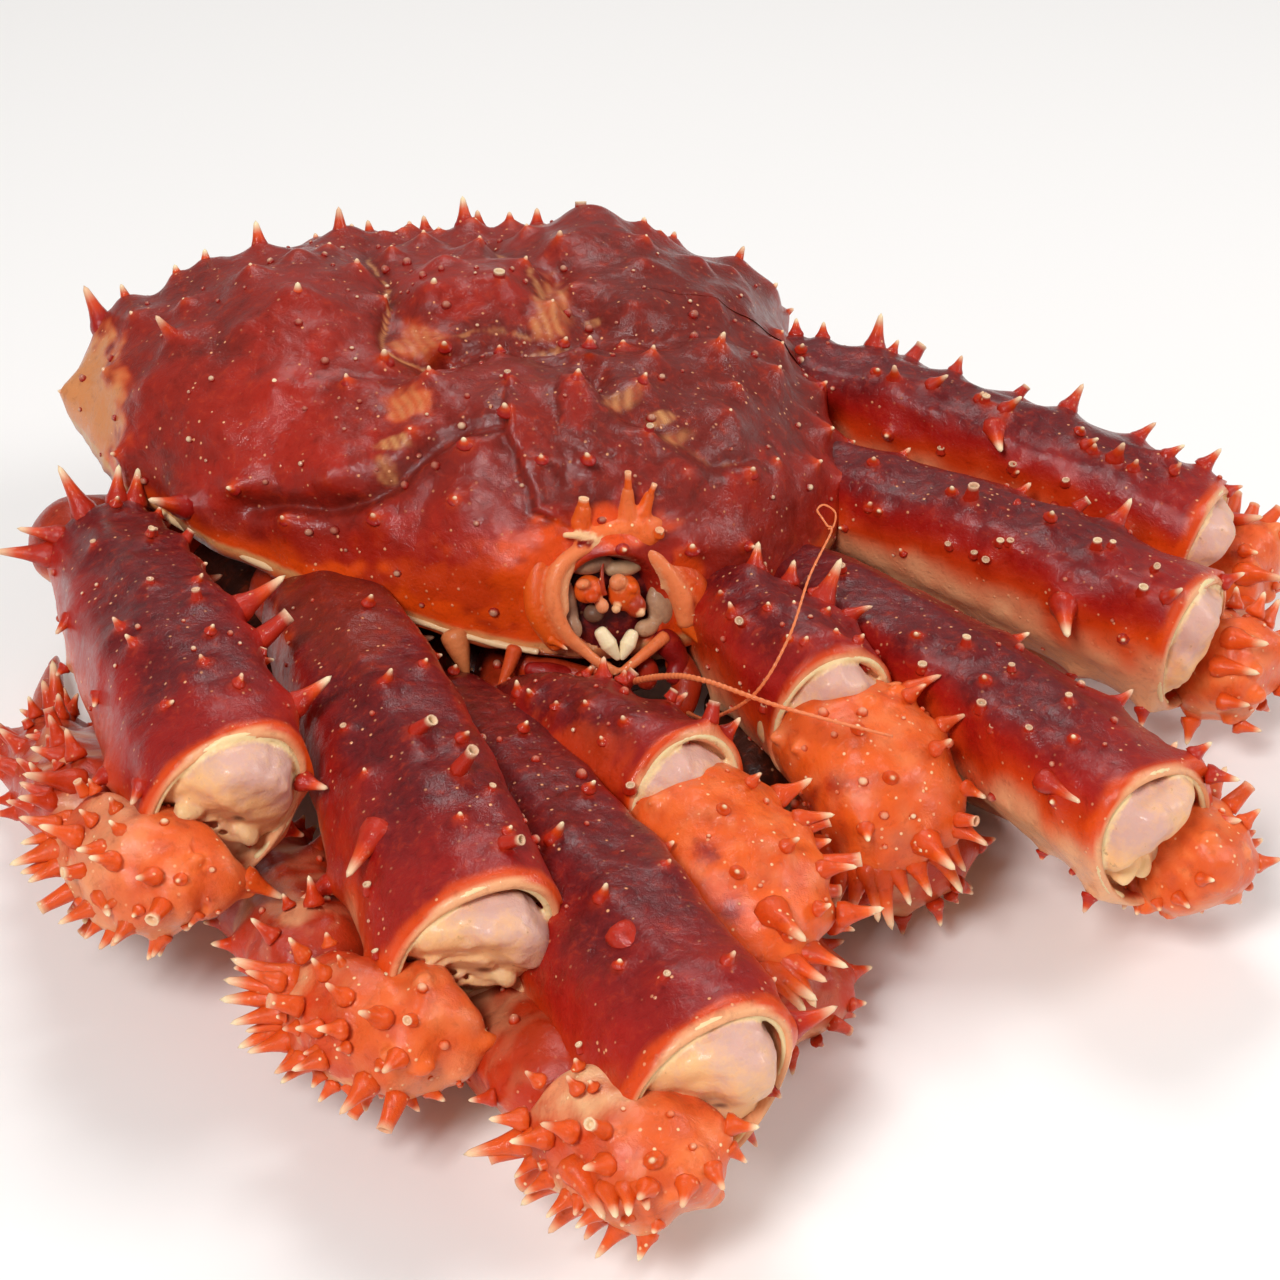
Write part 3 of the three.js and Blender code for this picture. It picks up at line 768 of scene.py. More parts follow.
UPPER_PROFILE: Table = (
    (0, 0), (0, 0.5), (0.08, 0.72), (0.35, 0.88), (0.7, 0.98), (0.9, 0.965), (0.96, 0.98), (0.988, 1.0),
    (1.003, 0.95), (1.008, 0.89), (1.0, 0.855), (0.985, 0.84), (0.95, 0.83), (0.945, 0.5), (0.945, 0),
)  # fmt: skip
MEMBRANE_PROFILE: Table = ((0, 0), (0, 0.87), (0.6, 0.87), (0.82, 0.8), (0.94, 0.52), (1, 0))
ELBOW_PROFILE: Table = ((-0.14, 0), (-0.12, 0.72), (0.03, 1.0), (0.5, 1.05), (0.8, 0.95), (1, 0.8), (1.03, 0))
SHIN_PROFILE: Table = ((-0.04, 0), (0, 0.72), (0.12, 0.97), (0.4, 1.02), (0.75, 0.86), (0.97, 0.7), (1.0, 0))
TOE_PROFILE: Table = ((-0.04, 0), (0.0, 0.82), (0.35, 0.75), (0.75, 0.42), (0.95, 0.15), (1.0, 0))
HIP_PROFILE: Table = ((-0.05, 0), (0, 0.7), (0.4, 0.85), (0.75, 0.8), (1.0, 0.7), (1.04, 0))
HAND_PROFILE: Table = ((-0.12, 0), (-0.07, 0.5), (0.1, 0.94), (0.4, 1.03), (0.8, 0.88), (1, 0.72), (1.03, 0))
ABDOMEN_PROFILE: Table = ((-0.02, 0), (0, 0.7), (0.15, 0.9), (0.4, 1), (0.7, 0.85), (0.92, 0.45), (1, 0))
FEELER_BASE_PROFILE: Table = ((-0.02, 0), (0, 0.85), (0.3, 0.95), (0.5, 1.08), (0.7, 0.95), (1, 0.85), (1.02, 0))


CORNER_CUTS = 3


@dataclass
class Limb:
    """One segment of a limb: a bent tube of oval section about a curve through three places.

    The section's long half points along `up`, and `half` holds its long and its short half.
    """

    path: tuple[np.ndarray, np.ndarray, np.ndarray]
    up: np.ndarray
    half: tuple[float, float]
    profile: Table
    length: float = field(init=False)

    def __post_init__(self) -> None:
        """Measures the curve."""
        steps = self.centre(np.linspace(0, 1, 201))
        self.length = float(np.linalg.norm(np.diff(steps, axis=0), axis=1).sum())

    def centre(self, t: np.ndarray) -> np.ndarray:
        """Follows the curve.

        Args:
            t: shares of it from 0 to 1.

        Returns:
            The places there.
        """
        t = np.asarray(t, dtype=float)[..., None]
        start, middle, end = self.path
        return (1 - t) ** 2 * start + 2 * t * (1 - t) * middle + t * t * end

    def frames(self, t: np.ndarray) -> tuple[np.ndarray, np.ndarray, np.ndarray, np.ndarray]:
        """Finds how the segment stands along its curve, also a little past both ends.

        Args:
            t: shares of the curve.

        Returns:
            The centres and the long, short and forward directions there.
        """
        t = np.asarray(t, dtype=float)
        inside = np.clip(t, 0, 1)
        start, middle, end = self.path
        forward = unit((1 - inside)[..., None] * (middle - start) + inside[..., None] * (end - middle))
        centre = self.centre(inside) + ((t - inside) * self.length)[..., None] * forward
        lying = self.up - (forward @ self.up)[..., None] * forward
        long = unit(lying)
        return centre, long, np.cross(forward, long), forward

    def at(self, t: np.ndarray, angle: np.ndarray, reach: np.ndarray) -> np.ndarray:
        """Finds places in the segment.

        Args:
            t: shares of the curve.
            angle: turns from the long direction to the short one.
            reach: how far out in the section, as a share of its half sizes.

        Returns:
            The places.
        """
        centre, long, short, _ = self.frames(t)
        return (
            centre
            + (np.cos(angle) * reach * self.half[0])[..., None] * long
            + (np.sin(angle) * reach * self.half[1])[..., None] * short
        )

    def width(self, t: float) -> float:
        """Reads the outside of the profile, without the socket that it turns back into.

        Args:
            t: the share of the curve.

        Returns:
            How much of its half sizes the segment has there.
        """
        outside = []
        for position, reach in self.profile:
            if outside and position <= outside[-1][0]:
                if len(outside) > 1:
                    break
                outside[-1] = (position, reach)
                continue
            outside.append((position, reach))
        return float(smooth_table(tuple(outside), np.array(t)))

    def outline(self, rows: int) -> tuple[np.ndarray, np.ndarray]:
        """Rounds the profile's corners and divides it into even steps.

        Args:
            rows: how many steps.

        Returns:
            The position and the reach at the ends of the steps.
        """
        line = np.array(self.profile, dtype=float)
        for _ in range(CORNER_CUTS):
            cut = np.empty((2 * (len(line) - 1), 2))
            cut[0::2] = 0.75 * line[:-1] + 0.25 * line[1:]
            cut[1::2] = 0.25 * line[:-1] + 0.75 * line[1:]
            line = np.vstack((line[:1], cut, line[-1:]))
        size = np.array((self.length, sum(self.half) / 2))
        lengths = walked(np.diff(line, axis=0) * size)
        steps = np.linspace(0, lengths[-1], rows + 1)
        return np.interp(steps, lengths, line[:, 0]), np.interp(steps, lengths, line[:, 1])


@dataclass(frozen=True)
class SpineRow:
    """A row of spines along a segment: its angle, how many, from where to where, and their length."""

    degrees: float
    count: int
    start: float
    end: float
    length: float


@dataclass(frozen=True)
class Carving:
    """How a segment's surface is carved.

    Args:
        lumps: height of its broad lumps.
        wrinkles: height of its fine wrinkles.
        ridge: height of the ridges under its spine rows.
        triangular: how far its section is from an oval.
        step: size of its faces.
        studs: how many low studs are scattered on it.
    """

    lumps: float = 0.7
    wrinkles: float = 0.25
    ridge: float = 1.2
    triangular: float = 0.045
    step: float = 1.15
    studs: int = 26


UPPER_SPINES = (
    SpineRow(10, 4, 0.16, 0.84, 8), SpineRow(70, 4, 0.2, 0.85, 8.5), SpineRow(-45, 4, 0.15, 0.82, 8.5),
    SpineRow(-85, 3, 0.3, 0.78, 8), SpineRow(-20, 1, 0.96, 0.96, 8), SpineRow(55, 1, 0.96, 0.96, 10),
    SpineRow(-105, 1, 0.96, 0.96, 7), SpineRow(100, 1, 0.96, 0.96, 7), SpineRow(-140, 3, 0.3, 0.9, 5),
    SpineRow(35, 4, 0.1, 0.9, 4), SpineRow(-15, 5, 0.1, 0.9, 4), SpineRow(110, 3, 0.2, 0.8, 4),
)  # fmt: skip
ELBOW_SPINES = (
    SpineRow(-60, 4, 0.3, 0.95, 7), SpineRow(-25, 5, 0.3, 0.95, 9), SpineRow(15, 5, 0.25, 0.95, 9.5),
    SpineRow(45, 5, 0.35, 0.95, 9), SpineRow(80, 4, 0.4, 0.9, 6), SpineRow(0, 6, 0.2, 0.9, 4),
    SpineRow(-80, 4, 0.3, 0.9, 4),
)  # fmt: skip
SHIN_SPINES = (
    SpineRow(-40, 5, 0.08, 0.85, 7.5), SpineRow(-65, 4, 0.12, 0.8, 4), SpineRow(-80, 6, 0.06, 0.92, 8.5),
    SpineRow(-110, 5, 0.1, 0.85, 7.5), SpineRow(0, 4, 0.1, 0.8, 6), SpineRow(30, 3, 0.2, 0.8, 5),
)  # fmt: skip
ARM_SPINES = (
    SpineRow(0, 4, 0.2, 0.88, 8), SpineRow(60, 4, 0.25, 0.9, 8), SpineRow(-60, 4, 0.2, 0.9, 8),
    SpineRow(30, 4, 0.15, 0.85, 4), SpineRow(-30, 4, 0.3, 0.95, 4), SpineRow(-100, 3, 0.3, 0.9, 6),
    SpineRow(100, 3, 0.3, 0.9, 6),
)  # fmt: skip
WRIST_SPINES = (
    SpineRow(-30, 4, 0.2, 0.95, 8), SpineRow(0, 4, 0.3, 0.95, 8), SpineRow(30, 4, 0.25, 0.95, 9),
    SpineRow(60, 3, 0.3, 0.9, 6), SpineRow(-80, 3, 0.3, 0.9, 5), SpineRow(100, 3, 0.4, 0.9, 4),
)  # fmt: skip
HAND_SPINES = (
    SpineRow(90, 4, 0.0, 0.6, 7), SpineRow(40, 4, 0.0, 0.8, 9), SpineRow(140, 4, 0.0, 0.8, 9),
    SpineRow(10, 4, 0.1, 0.8, 8), SpineRow(170, 4, 0.1, 0.8, 8), SpineRow(65, 3, 0.1, 0.7, 5),
)  # fmt: skip


@dataclass(frozen=True)
class Patch:
    """A patch of colour that is seen as an oval of the camera's frame."""

    centre: Pixel
    half: Pixel
    channel: Coat
    amount: float

    def inside(self, places: np.ndarray, pixels: np.ndarray) -> np.ndarray:
        """How far inside the patch's ragged edge places are, from 0 to 1."""
        away = oval_distance(pixels, self.centre, self.half)
        return rise(1.2, 0.6, away + 0.35 * cloud(places, 5, 6) + 0.3 * cloud(places, 2.5, 12))


class Pattern(Enum):
    """How a kind of segment is painted."""

    RIMMED = "dark top, bright sides and an orange rim round a socket"
    JOINT = "orange, turning pink along its length"
    WRIST = "orange all over, finely stippled"
    SHIN = "pinkish red with pale plates"
    SMOOTH = "red with a paler underside"
    BARE = "no shell colours"


def paint_limb(
    blank: Blank, t: np.ndarray, reach: np.ndarray, normals: np.ndarray, pattern: Pattern, seed: int
) -> None:
    """Paints a segment by its shape.

    Args:
        blank: the segment's blank.
        t: how far along the segment each vertex is.
        reach: how far out in its section each vertex is.
        normals: its outward directions.
        pattern: how it is painted.
        seed: makes its details its own.
    """
    places = blank.places
    broad, small = cloud(places, 15, seed + 3), cloud(places, 5, seed + 4)
    up = normals[:, 2] + 0.22 * broad + 0.13 * small
    dark, orange, pale = (np.zeros(len(t)) for _ in range(3))
    if pattern is Pattern.RIMMED:
        end = rise(0.78, 0.97, t + 0.05 * small + 0.05 * broad)
        side = rise(0.55, -0.1, up)
        dark = 0.88 * rise(0.33, 0.9, up) * (1 - 0.6 * end)
        orange = 0.7 * rise(0.42, -0.2, up) + 0.35 * end * side + 0.8 * rise(0.972, 0.99, t + 0.008 * small)
        pale = 0.85 * rise(0.0, -0.6, up)
        lip = rise(0.99, 1.0, t) * rise(0.985, 0.95, reach) * rise(-0.9, -0.2, normals[:, 2] + 0.4)
        socket = rise(0.88, 0.85, reach) * rise(0.9, 0.94, t)
        pale = np.maximum(pale, np.maximum(0.7 * lip, 0.8 * socket))
    elif pattern is Pattern.JOINT:
        far = rise(0.3, 0.62, t + 0.12 * broad)
        plate = rise(-0.15, 0.35, cloud(places, 13, seed + 6)) * far
        vein = rise(0.16, 0.03, np.abs(cloud(places, 7, seed + 8))) * rise(-0.2, 0.3, broad) * far
        stipple = cloud(places, 2.2, seed + 9)
        orange = (0.85 - 0.45 * far) * (0.8 + 0.25 * small + 0.3 * stipple)
        dark = 0.6 * rise(0.1, 0.7, cloud(places, 9, seed + 5)) * far * (1 - plate) + 0.35 * rise(0.2, 0.7, -stipple)
        pale = 0.4 * plate + 0.55 * vein + 0.3 * rise(-0.1, -0.7, up) + 0.12 * rise(0.2, 0.8, small)
        pale += 0.05 * (1 - far) + 0.12 * rise(0.3, 0.7, stipple)
    elif pattern is Pattern.WRIST:
        orange = 0.8 + 0.2 * small
        # Painted shade: the wrist is painted darker where it faces down.
        dark = 0.4 * rise(0.1, 0.7, cloud(places, 9, seed + 5)) + 0.3 * rise(0.3, -0.3, up)
        dotted = rise(0.15, 0.5, cloud(places, 2.0, seed + 10))
        dark, orange = dark + 0.5 * dotted, orange * (1 - 0.35 * dotted)
        pale = 0.02 + 0.14 * rise(0.0, 0.6, cloud(places, 2.6, seed + 9))
    elif pattern is Pattern.SHIN:
        vein = rise(0.14, 0.03, np.abs(cloud(places, 8, seed + 8)))
        dark = 0.5 * rise(0.1, 0.9, up) + 0.25 * rise(0.2, 0.7, cloud(places, 7, seed + 5))
        orange = 0.35 + 0.3 * rise(0.3, -0.5, up)
        pale = 0.4 * rise(0.15, 0.6, cloud(places, 10, seed + 6)) + 0.35 * rise(-0.2, -0.8, up) + 0.1 * vein
    elif pattern is Pattern.SMOOTH:
        dark = 0.8 * rise(0.0, 0.8, up)
        orange = 0.3 + 0.4 * rise(0.2, -0.5, up)
        pale = 0.6 * rise(-0.2, -0.8, up)
    blank.coat(dark=np.clip(dark, 0, 1), orange=np.clip(orange, 0, 1), pale=np.clip(pale, 0, 1))


# Says of a spine's tip whether it has room there.
Room = Callable[[np.ndarray], bool]

ROW_KEYS = 31
SMALL_SPINE = 4.5
UNBROKEN = 0.88
COLUMN_RANGE = (12, 150)
LINE_RANGE = (10, 190)


@dataclass(frozen=True)
class Style:
    """All that says how one segment is shaped and dressed, apart from its route."""

    pattern: Pattern
    rows: tuple[SpineRow, ...] = ()
    carving: Carving = Carving()
    turn: float = 1.0
    seed: int = 0
    seen: tuple[SeenSpine, ...] = ()
    patches: tuple[Patch, ...] = ()
    horn_orange: float = 0.15


def rows_spines(limb: Limb, style: Style, room: Room) -> list[Spine]:
    """Sets the spines of a segment's rows.

    Args:
        limb: the segment.
        style: its rows of spines.
        room: says whether a spine's tip has room.

    Returns:
        The spines, without the large ones of an upper where the camera sees it: those are placed one by one.
    """
    seed, found = style.seed, []
    for number, row in enumerate(style.rows):
        for i in range(row.count):
            key = number * ROW_KEYS + i
            share = i / (row.count - 1) if row.count > 1 else 0.5
            spot = row.start + (row.end - row.start) * share + (scatter(seed, key) - 0.5) * 0.05
            if row.count == 1:
                spot = row.start
            bearing = style.turn * math.radians(row.degrees + (scatter(seed, key + 0.3) - 0.5) * 24)
            centre, _, _, forward = limb.frames(np.array(spot))
            foot = limb.at(np.array(spot), np.array(bearing), np.array(limb.width(spot)))
            out = unit(foot - centre)
            way = unit(out + (0.15 + 0.3 * scatter(seed, key + 0.6)) * forward)
            length = row.length * (0.75 + 0.45 * scatter(seed, key + 0.7))
            if style.pattern is Pattern.RIMMED and row.length > SMALL_SPINE and VIEW.facing(foot, out) > 0:
                continue
            if not room(foot + way * length):
                continue
            tip = SpineTip.BROKEN if scatter(seed, key + 0.9) > UNBROKEN else SpineTip.WHOLE
            lean, pale = 0.3 * (scatter(seed, key + 0.5) - 0.5), 0.5 + 0.5 * scatter(seed, key + 0.2)
            found.append(Spine(foot, way, length, stoutness(length), tip, lean, pale))
    return found


def shaped_limb(limb: Limb, style: Style, room: Room = lambda tip: True) -> list[Blank]:
    """Shapes and paints one segment with its spines.

    Args:
        limb: the segment.
        style: its spines, carving and paint.
        room: says whether a spine's tip has room.

    Returns:
        The body's blank, then one for each spine.
    """
    carving, seed, turn = style.carving, style.seed, style.turn
    round_mm = 2 * math.pi * sum(limb.half) / 2
    columns = int(np.clip(round_mm / carving.step, *COLUMN_RANGE))
    lines = int(np.clip((limb.length + sum(limb.half)) / carving.step, *LINE_RANGE))
    blank = Blank(columns, lines)
    along, reaches = limb.outline(lines)
    t, reach, angle = along[blank.row()], reaches[blank.row()], blank.around()
    reach = reach * (1 + carving.triangular * np.cos(3 * (angle - turn * 0.4)))
    blank.places = limb.at(t, angle, reach)
    normals = blank.normals()
    facing = VIEW.facing(blank.places, normals)
    outside = (reach > 0.3) & (t < 0.99)
    places, outward, front = blank.places[outside], normals[outside], facing[outside]
    spines = [plan.spine(places, outward, front, 100 * seed + number) for number, plan in enumerate(style.seen)]
    spines += rows_spines(limb, style, room)
    move = carving.lumps * cloud(blank.places, 12, seed) + carving.wrinkles * cloud(blank.places, 3.4, seed + 7)
    for row in style.rows:
        if row.length >= 7 and row.count > 1:
            near = np.cos(angle - turn * math.radians(row.degrees))
            inside = rise(0.02, 0.15, t) * rise(0.99, 0.88, t)
            move += carving.ridge * np.exp(-((1 - near) / 0.03)) * inside
    move *= outside * (1 - 0.6 * rise(0.93, 0.98, t))
    bare = blank.places + move[:, None] * normals
    raised, level = tents(bare, normals, spines)
    blank.places = bare + raised * outside[:, None]
    blank.places[:, 2] = np.maximum(blank.places[:, 2], GROUND)
    paint_limb(blank, t, reach, normals, style.pattern, seed)
    blank.deepen(Coat.ORANGE, 0.55 * rise(0.35, 1.0, level))
    blank.paint[:, Coat.DARK] *= 1 - 0.8 * rise(0.3, 0.9, level)
    for patch in style.patches:
        inside = patch.amount * patch.inside(blank.places, VIEW.pixels(blank.places)) * (facing > 0)
        blank.deepen(patch.channel, inside)
        if patch.channel is Coat.DARK:
            blank.paint[:, Coat.ORANGE] *= 1 - inside
    if carving.studs:
        usable = outside & (level < 0.3) & (t > 0.05)
        spines += studs(blank.places, blank.normals(), usable, carving.studs, seed)
    finished = [spine.raised().blank() for spine in spines]
    for horn in finished:
        horn.deepen(Coat.ORANGE, style.horn_orange)
    return [blank] + finished


# ---------------------------------------------------------------- finishes


Colour = tuple[float, float, float, float]
Input = bpy.types.NodeSocket | float | Place | Colour

MIX_FACTOR, MIX_A, MIX_B, MIX_RESULT = 0, 6, 7, 2
BUMP_DISTANCE = 0.8 * MM
CUTICLE_IOR = 1.38
SHADE = (0.55, 0.42, 0.42, 1.0)


class MaterialNodes:
    """The nodes of a new material, with the place of each point and the channels of its paint."""

    def __init__(self, name: str) -> None:
        """Starts with the place and the paint.

        Args:
            name: the material's name.
        """
        self.material = bpy.data.materials.new(name)
        self.material.use_nodes = True
        self.tree = self.material.node_tree
        self.tree.nodes.clear()
        self.where = self.add("TexCoord")["Object"]
        paint = self.add("Attribute", attribute_name="paint")
        channels = self.add("SeparateColor", {"Color": paint["Color"]})
        self.horn, self.orange, self.dark = channels["Red"], channels["Green"], channels["Blue"]
        self.pale = paint["Alpha"]

    def add(
        self, kind: str, links: dict[str | int, Input] | None = None, **settings: str | bool
    ) -> bpy.types.NodeOutputs:
        """Adds a node with its settings, and fills its sockets with values or with other nodes' outputs.

        Args:
            kind: the node's type, without the words that all types start with.
            links: sockets by name or number, each with a value or an output socket.
            settings: the node's own settings.

        Returns:
            The node's outputs.
        """
        node = self.tree.nodes.new("ShaderNode" + kind)
        for name, value in settings.items():
            setattr(node, name, value)
        for name, value in (links or {}).items():
            if isinstance(value, bpy.types.NodeSocket):
                self.tree.links.new(value, node.inputs[name])
            else:
                node.inputs[name].default_value = value
        return node.outputs

    def noise(self, size_mm: float, **settings: float) -> bpy.types.NodeSocket:
        """Adds smooth noise with lumps of a size."""
        return self.add("TexNoise", {"Vector": self.where, "Scale": 1 / (size_mm * MM), **settings})["Fac"]

    def math(self, operation: str, *values: Input, clamp: bool = False) -> bpy.types.NodeSocket:
        """Works out something from a few values."""
        return self.add("Math", dict(enumerate(values)), operation=operation, use_clamp=clamp)[0]

    def mix(self, share: Input, first: Input, second: Input, mode: str = "MIX") -> bpy.types.NodeSocket:
        """Mixes two colours by a share."""
        links = {MIX_FACTOR: share, MIX_A: first, MIX_B: second}
        return self.add("Mix", links, data_type="RGBA", blend_type=mode)[MIX_RESULT]

    def remap(self, value: Input, low: float, high: float, least: float, most: float) -> bpy.types.NodeSocket:
        """Turns a range of a value to another one, held at its ends."""
        links = {"Value": value, "From Min": low, "From Max": high, "To Min": least, "To Max": most}
        return self.add("MapRange", links)["Result"]

    def bump(self, height: Input, strength: float) -> bpy.types.NodeSocket:
        """Tilts the surface's normals by a height."""
        return self.add("Bump", {"Height": height, "Strength": strength, "Distance": BUMP_DISTANCE})["Normal"]

    def finish(self, links: dict[str | int, Input]) -> bpy.types.Material:
        """Ends the material with a principled shader.

        Args:
            links: the shader's sockets, each with a value or an output socket.

        Returns:
            The material.
        """
        shader = self.add("BsdfPrincipled", {"IOR": CUTICLE_IOR, **links})
        self.add("OutputMaterial", {"Surface": shader["BSDF"]})
        return self.material


@dataclass(frozen=True)
class BoiledShell:
    """Boiled crab shell, wet and glossy: chitin and chalk under a clear cuticle.

    The cuticle gives small sharp highlights over a broad soft one, and the pigment under it goes from
    dark wine red on top to bright red, orange at the joints and cream underneath.
    """

    name: str
    red: str = "#a6180f"
    dark: str = "#560e12"
    orange: str = "#e04a0c"
    pale: str = "#f3c08c"
    horn: str = "#f7e3b8"
    speck: str = "#f0a878"
    speck_amount: float = 0.6
    roughness: float = 0.4
    gloss: float = 0.5
    specular: float = 0.3
    glow: float = 0.0
    bump: float = 0.55

    def specks(self, nodes: MaterialNodes) -> bpy.types.NodeSocket:
        """Adds chalky specks under a millimetre across, a few to each square centimetre.

        Args:
            nodes: the material's nodes.

        Returns:
            How much of a speck each point is.
        """
        cells = nodes.add("TexVoronoi", {"Vector": nodes.where, "Scale": 1 / (2.6 * MM)})
        chosen = nodes.add("TexWhiteNoise", {"Vector": cells["Position"]}, noise_dimensions="3D")["Value"]
        near = nodes.remap(cells["Distance"], 0.1, 0.18, 1.0, 0.0)
        some = nodes.remap(chosen, 1 - self.speck_amount, 1 - self.speck_amount + 0.05, 0.0, 0.9)
        crowded = nodes.remap(nodes.noise(14, Detail=1.0), 0.46, 0.58, 0.25, 1.0)
        return nodes.math("MULTIPLY", near, nodes.math("MULTIPLY", some, crowded))

    def material(self) -> bpy.types.Material:
        """Makes the material from its nodes.

        Returns:
            The material.
        """
        nodes = MaterialNodes(self.name)
        mottle = nodes.noise(3, Detail=5.0, Roughness=0.7, Distortion=0.3)
        ragged_dark = nodes.math("MULTIPLY", nodes.dark, nodes.remap(mottle, 0.3, 0.7, 1.15, 0.8), clamp=True)
        base = nodes.mix(ragged_dark, linear(self.red), linear(self.dark))
        base = nodes.mix(nodes.orange, base, linear(self.orange))
        base = nodes.mix(nodes.pale, base, linear(self.pale))
        light = nodes.mix(0.45, base, linear(self.orange))
        base = nodes.mix(nodes.remap(mottle, 0.54, 0.75, 0.0, 0.5), base, light)
        shade = nodes.mix(1.0, base, SHADE, "MULTIPLY")
        base = nodes.mix(nodes.remap(mottle, 0.46, 0.28, 0.0, 0.5), base, shade)
        specks = self.specks(nodes)
        base = nodes.mix(specks, base, linear(self.speck))
        base = nodes.mix(nodes.horn, base, linear(self.horn))
        bump = nodes.bump(nodes.math("MULTIPLY_ADD", specks, 0.5, mottle), self.bump)
        rough = nodes.remap(mottle, 0.35, 0.65, self.roughness - 0.1, self.roughness + 0.14)
        return nodes.finish(
            {
                "Base Color": base, "Roughness": rough, "Specular IOR Level": self.specular, "Normal": bump,
                "Coat Weight": self.gloss, "Coat Roughness": 0.06, "Coat IOR": 1.4, "Coat Normal": bump,
                "Subsurface Weight": self.glow, "Subsurface Radius": (1.0, 0.35, 0.15),
                "Subsurface Scale": 4 * MM,
            }
        )  # fmt: skip


@dataclass(frozen=True)
class Membrane:
    """Joint membrane: thin wet skin, pinkish beige and a little see-through, with brown flecks."""

    name: str
    clear: str = "#d6a798"
    fatty: str = "#efb880"
    fleck: str = "#7a4526"
    cream: str = "#f4d6a0"
    glow: float = 0.2

    def material(self) -> bpy.types.Material:
        """Makes the material from its nodes.

        Returns:
            The material.
        """
        nodes = MaterialNodes(self.name)
        fine = nodes.noise(3, Detail=4.0, Roughness=0.65)
        share = nodes.math("ADD", nodes.pale, nodes.remap(fine, 0.35, 0.65, -0.3, 0.3), clamp=True)
        base = nodes.mix(share, linear(self.clear), linear(self.fatty))
        base = nodes.mix(nodes.horn, base, linear(self.cream))
        base = nodes.mix(nodes.dark, base, linear(self.fleck))
        base = nodes.mix(nodes.remap(fine, 0.64, 0.76, 0.0, 0.6), base, linear(self.fleck))
        return nodes.finish(
            {
                "Base Color": base, "Roughness": 0.5, "Normal": nodes.bump(fine, 0.6), "Coat Weight": 0.12,
                "Coat Roughness": 0.1, "Subsurface Weight": self.glow,
                "Subsurface Radius": (1.0, 0.45, 0.25), "Subsurface Scale": 5 * MM,
            }
        )  # fmt: skip


# ---------------------------------------------------------------- carapace


@dataclass(frozen=True)
class Swelling:
    """A swelling or hollow of the roof, mirrored in x."""

    x: float
    y: float
    height: float
    across: float
    along: float


@dataclass(frozen=True)
class Groove:
    """A groove, or the edge of a plate, that is seen along a line of the camera's frame.

    Args:
        line: the pixels that it passes.
        half_width: half its width, in pixels.
        depth: its depth in millimetres.
        pale: how strong the pale line along it is.
    """

    line: tuple[Pixel, ...]
    half_width: float
    depth: float
    pale: float

    def distance(self, pixels: np.ndarray) -> np.ndarray:
        """Measures how far pixels are from the line.

        Args:
            pixels: the pixels.

        Returns:
            Their distances, positive on the line's left side as it is drawn.
        """
        best = np.full(len(pixels), np.inf)
        signed = np.zeros(len(pixels))
        for start, end in zip(self.line[:-1], self.line[1:]):
            first, along = np.array(start), np.array(end) - np.array(start)
            away = pixels - first
            share = np.clip(away @ along / (along @ along), 0, 1)
            gap = away - share[:, None] * along
            size = np.linalg.norm(gap, axis=1)
            nearer = size < best
            best = np.where(nearer, size, best)
            side = np.sign(along[1] * away[:, 0] - along[0] * away[:, 1])
            signed = np.where(nearer, size * side, signed)
        return signed

    def swaying(self, places: np.ndarray, pixels: np.ndarray, sway: tuple[float, float, int]) -> np.ndarray:
        """The distance from the line when it sways by so many pixels, in waves of a size, by a seed."""
        return self.distance(pixels) + sway[0] * cloud(places, *sway[1:])


GROOVE_SWAY = (3, 6, 9)
EDGE_SWAY = (4, 5, 10)


@dataclass(frozen=True)
class Lump:
    """A swelling or hollow that is seen as an oval of the camera's frame, with its height in millimetres."""

    centre: Pixel
    half: Pixel
    height: float


@dataclass(frozen=True)
class Hanging:
    """A scrap that hangs from the mouth's lip: where from, its steps in pixels, its radii and its paint."""

    pixel: Pixel
    steps: tuple[Pixel, ...]
    radii: tuple[float, ...]
    pale: float
    orange: float


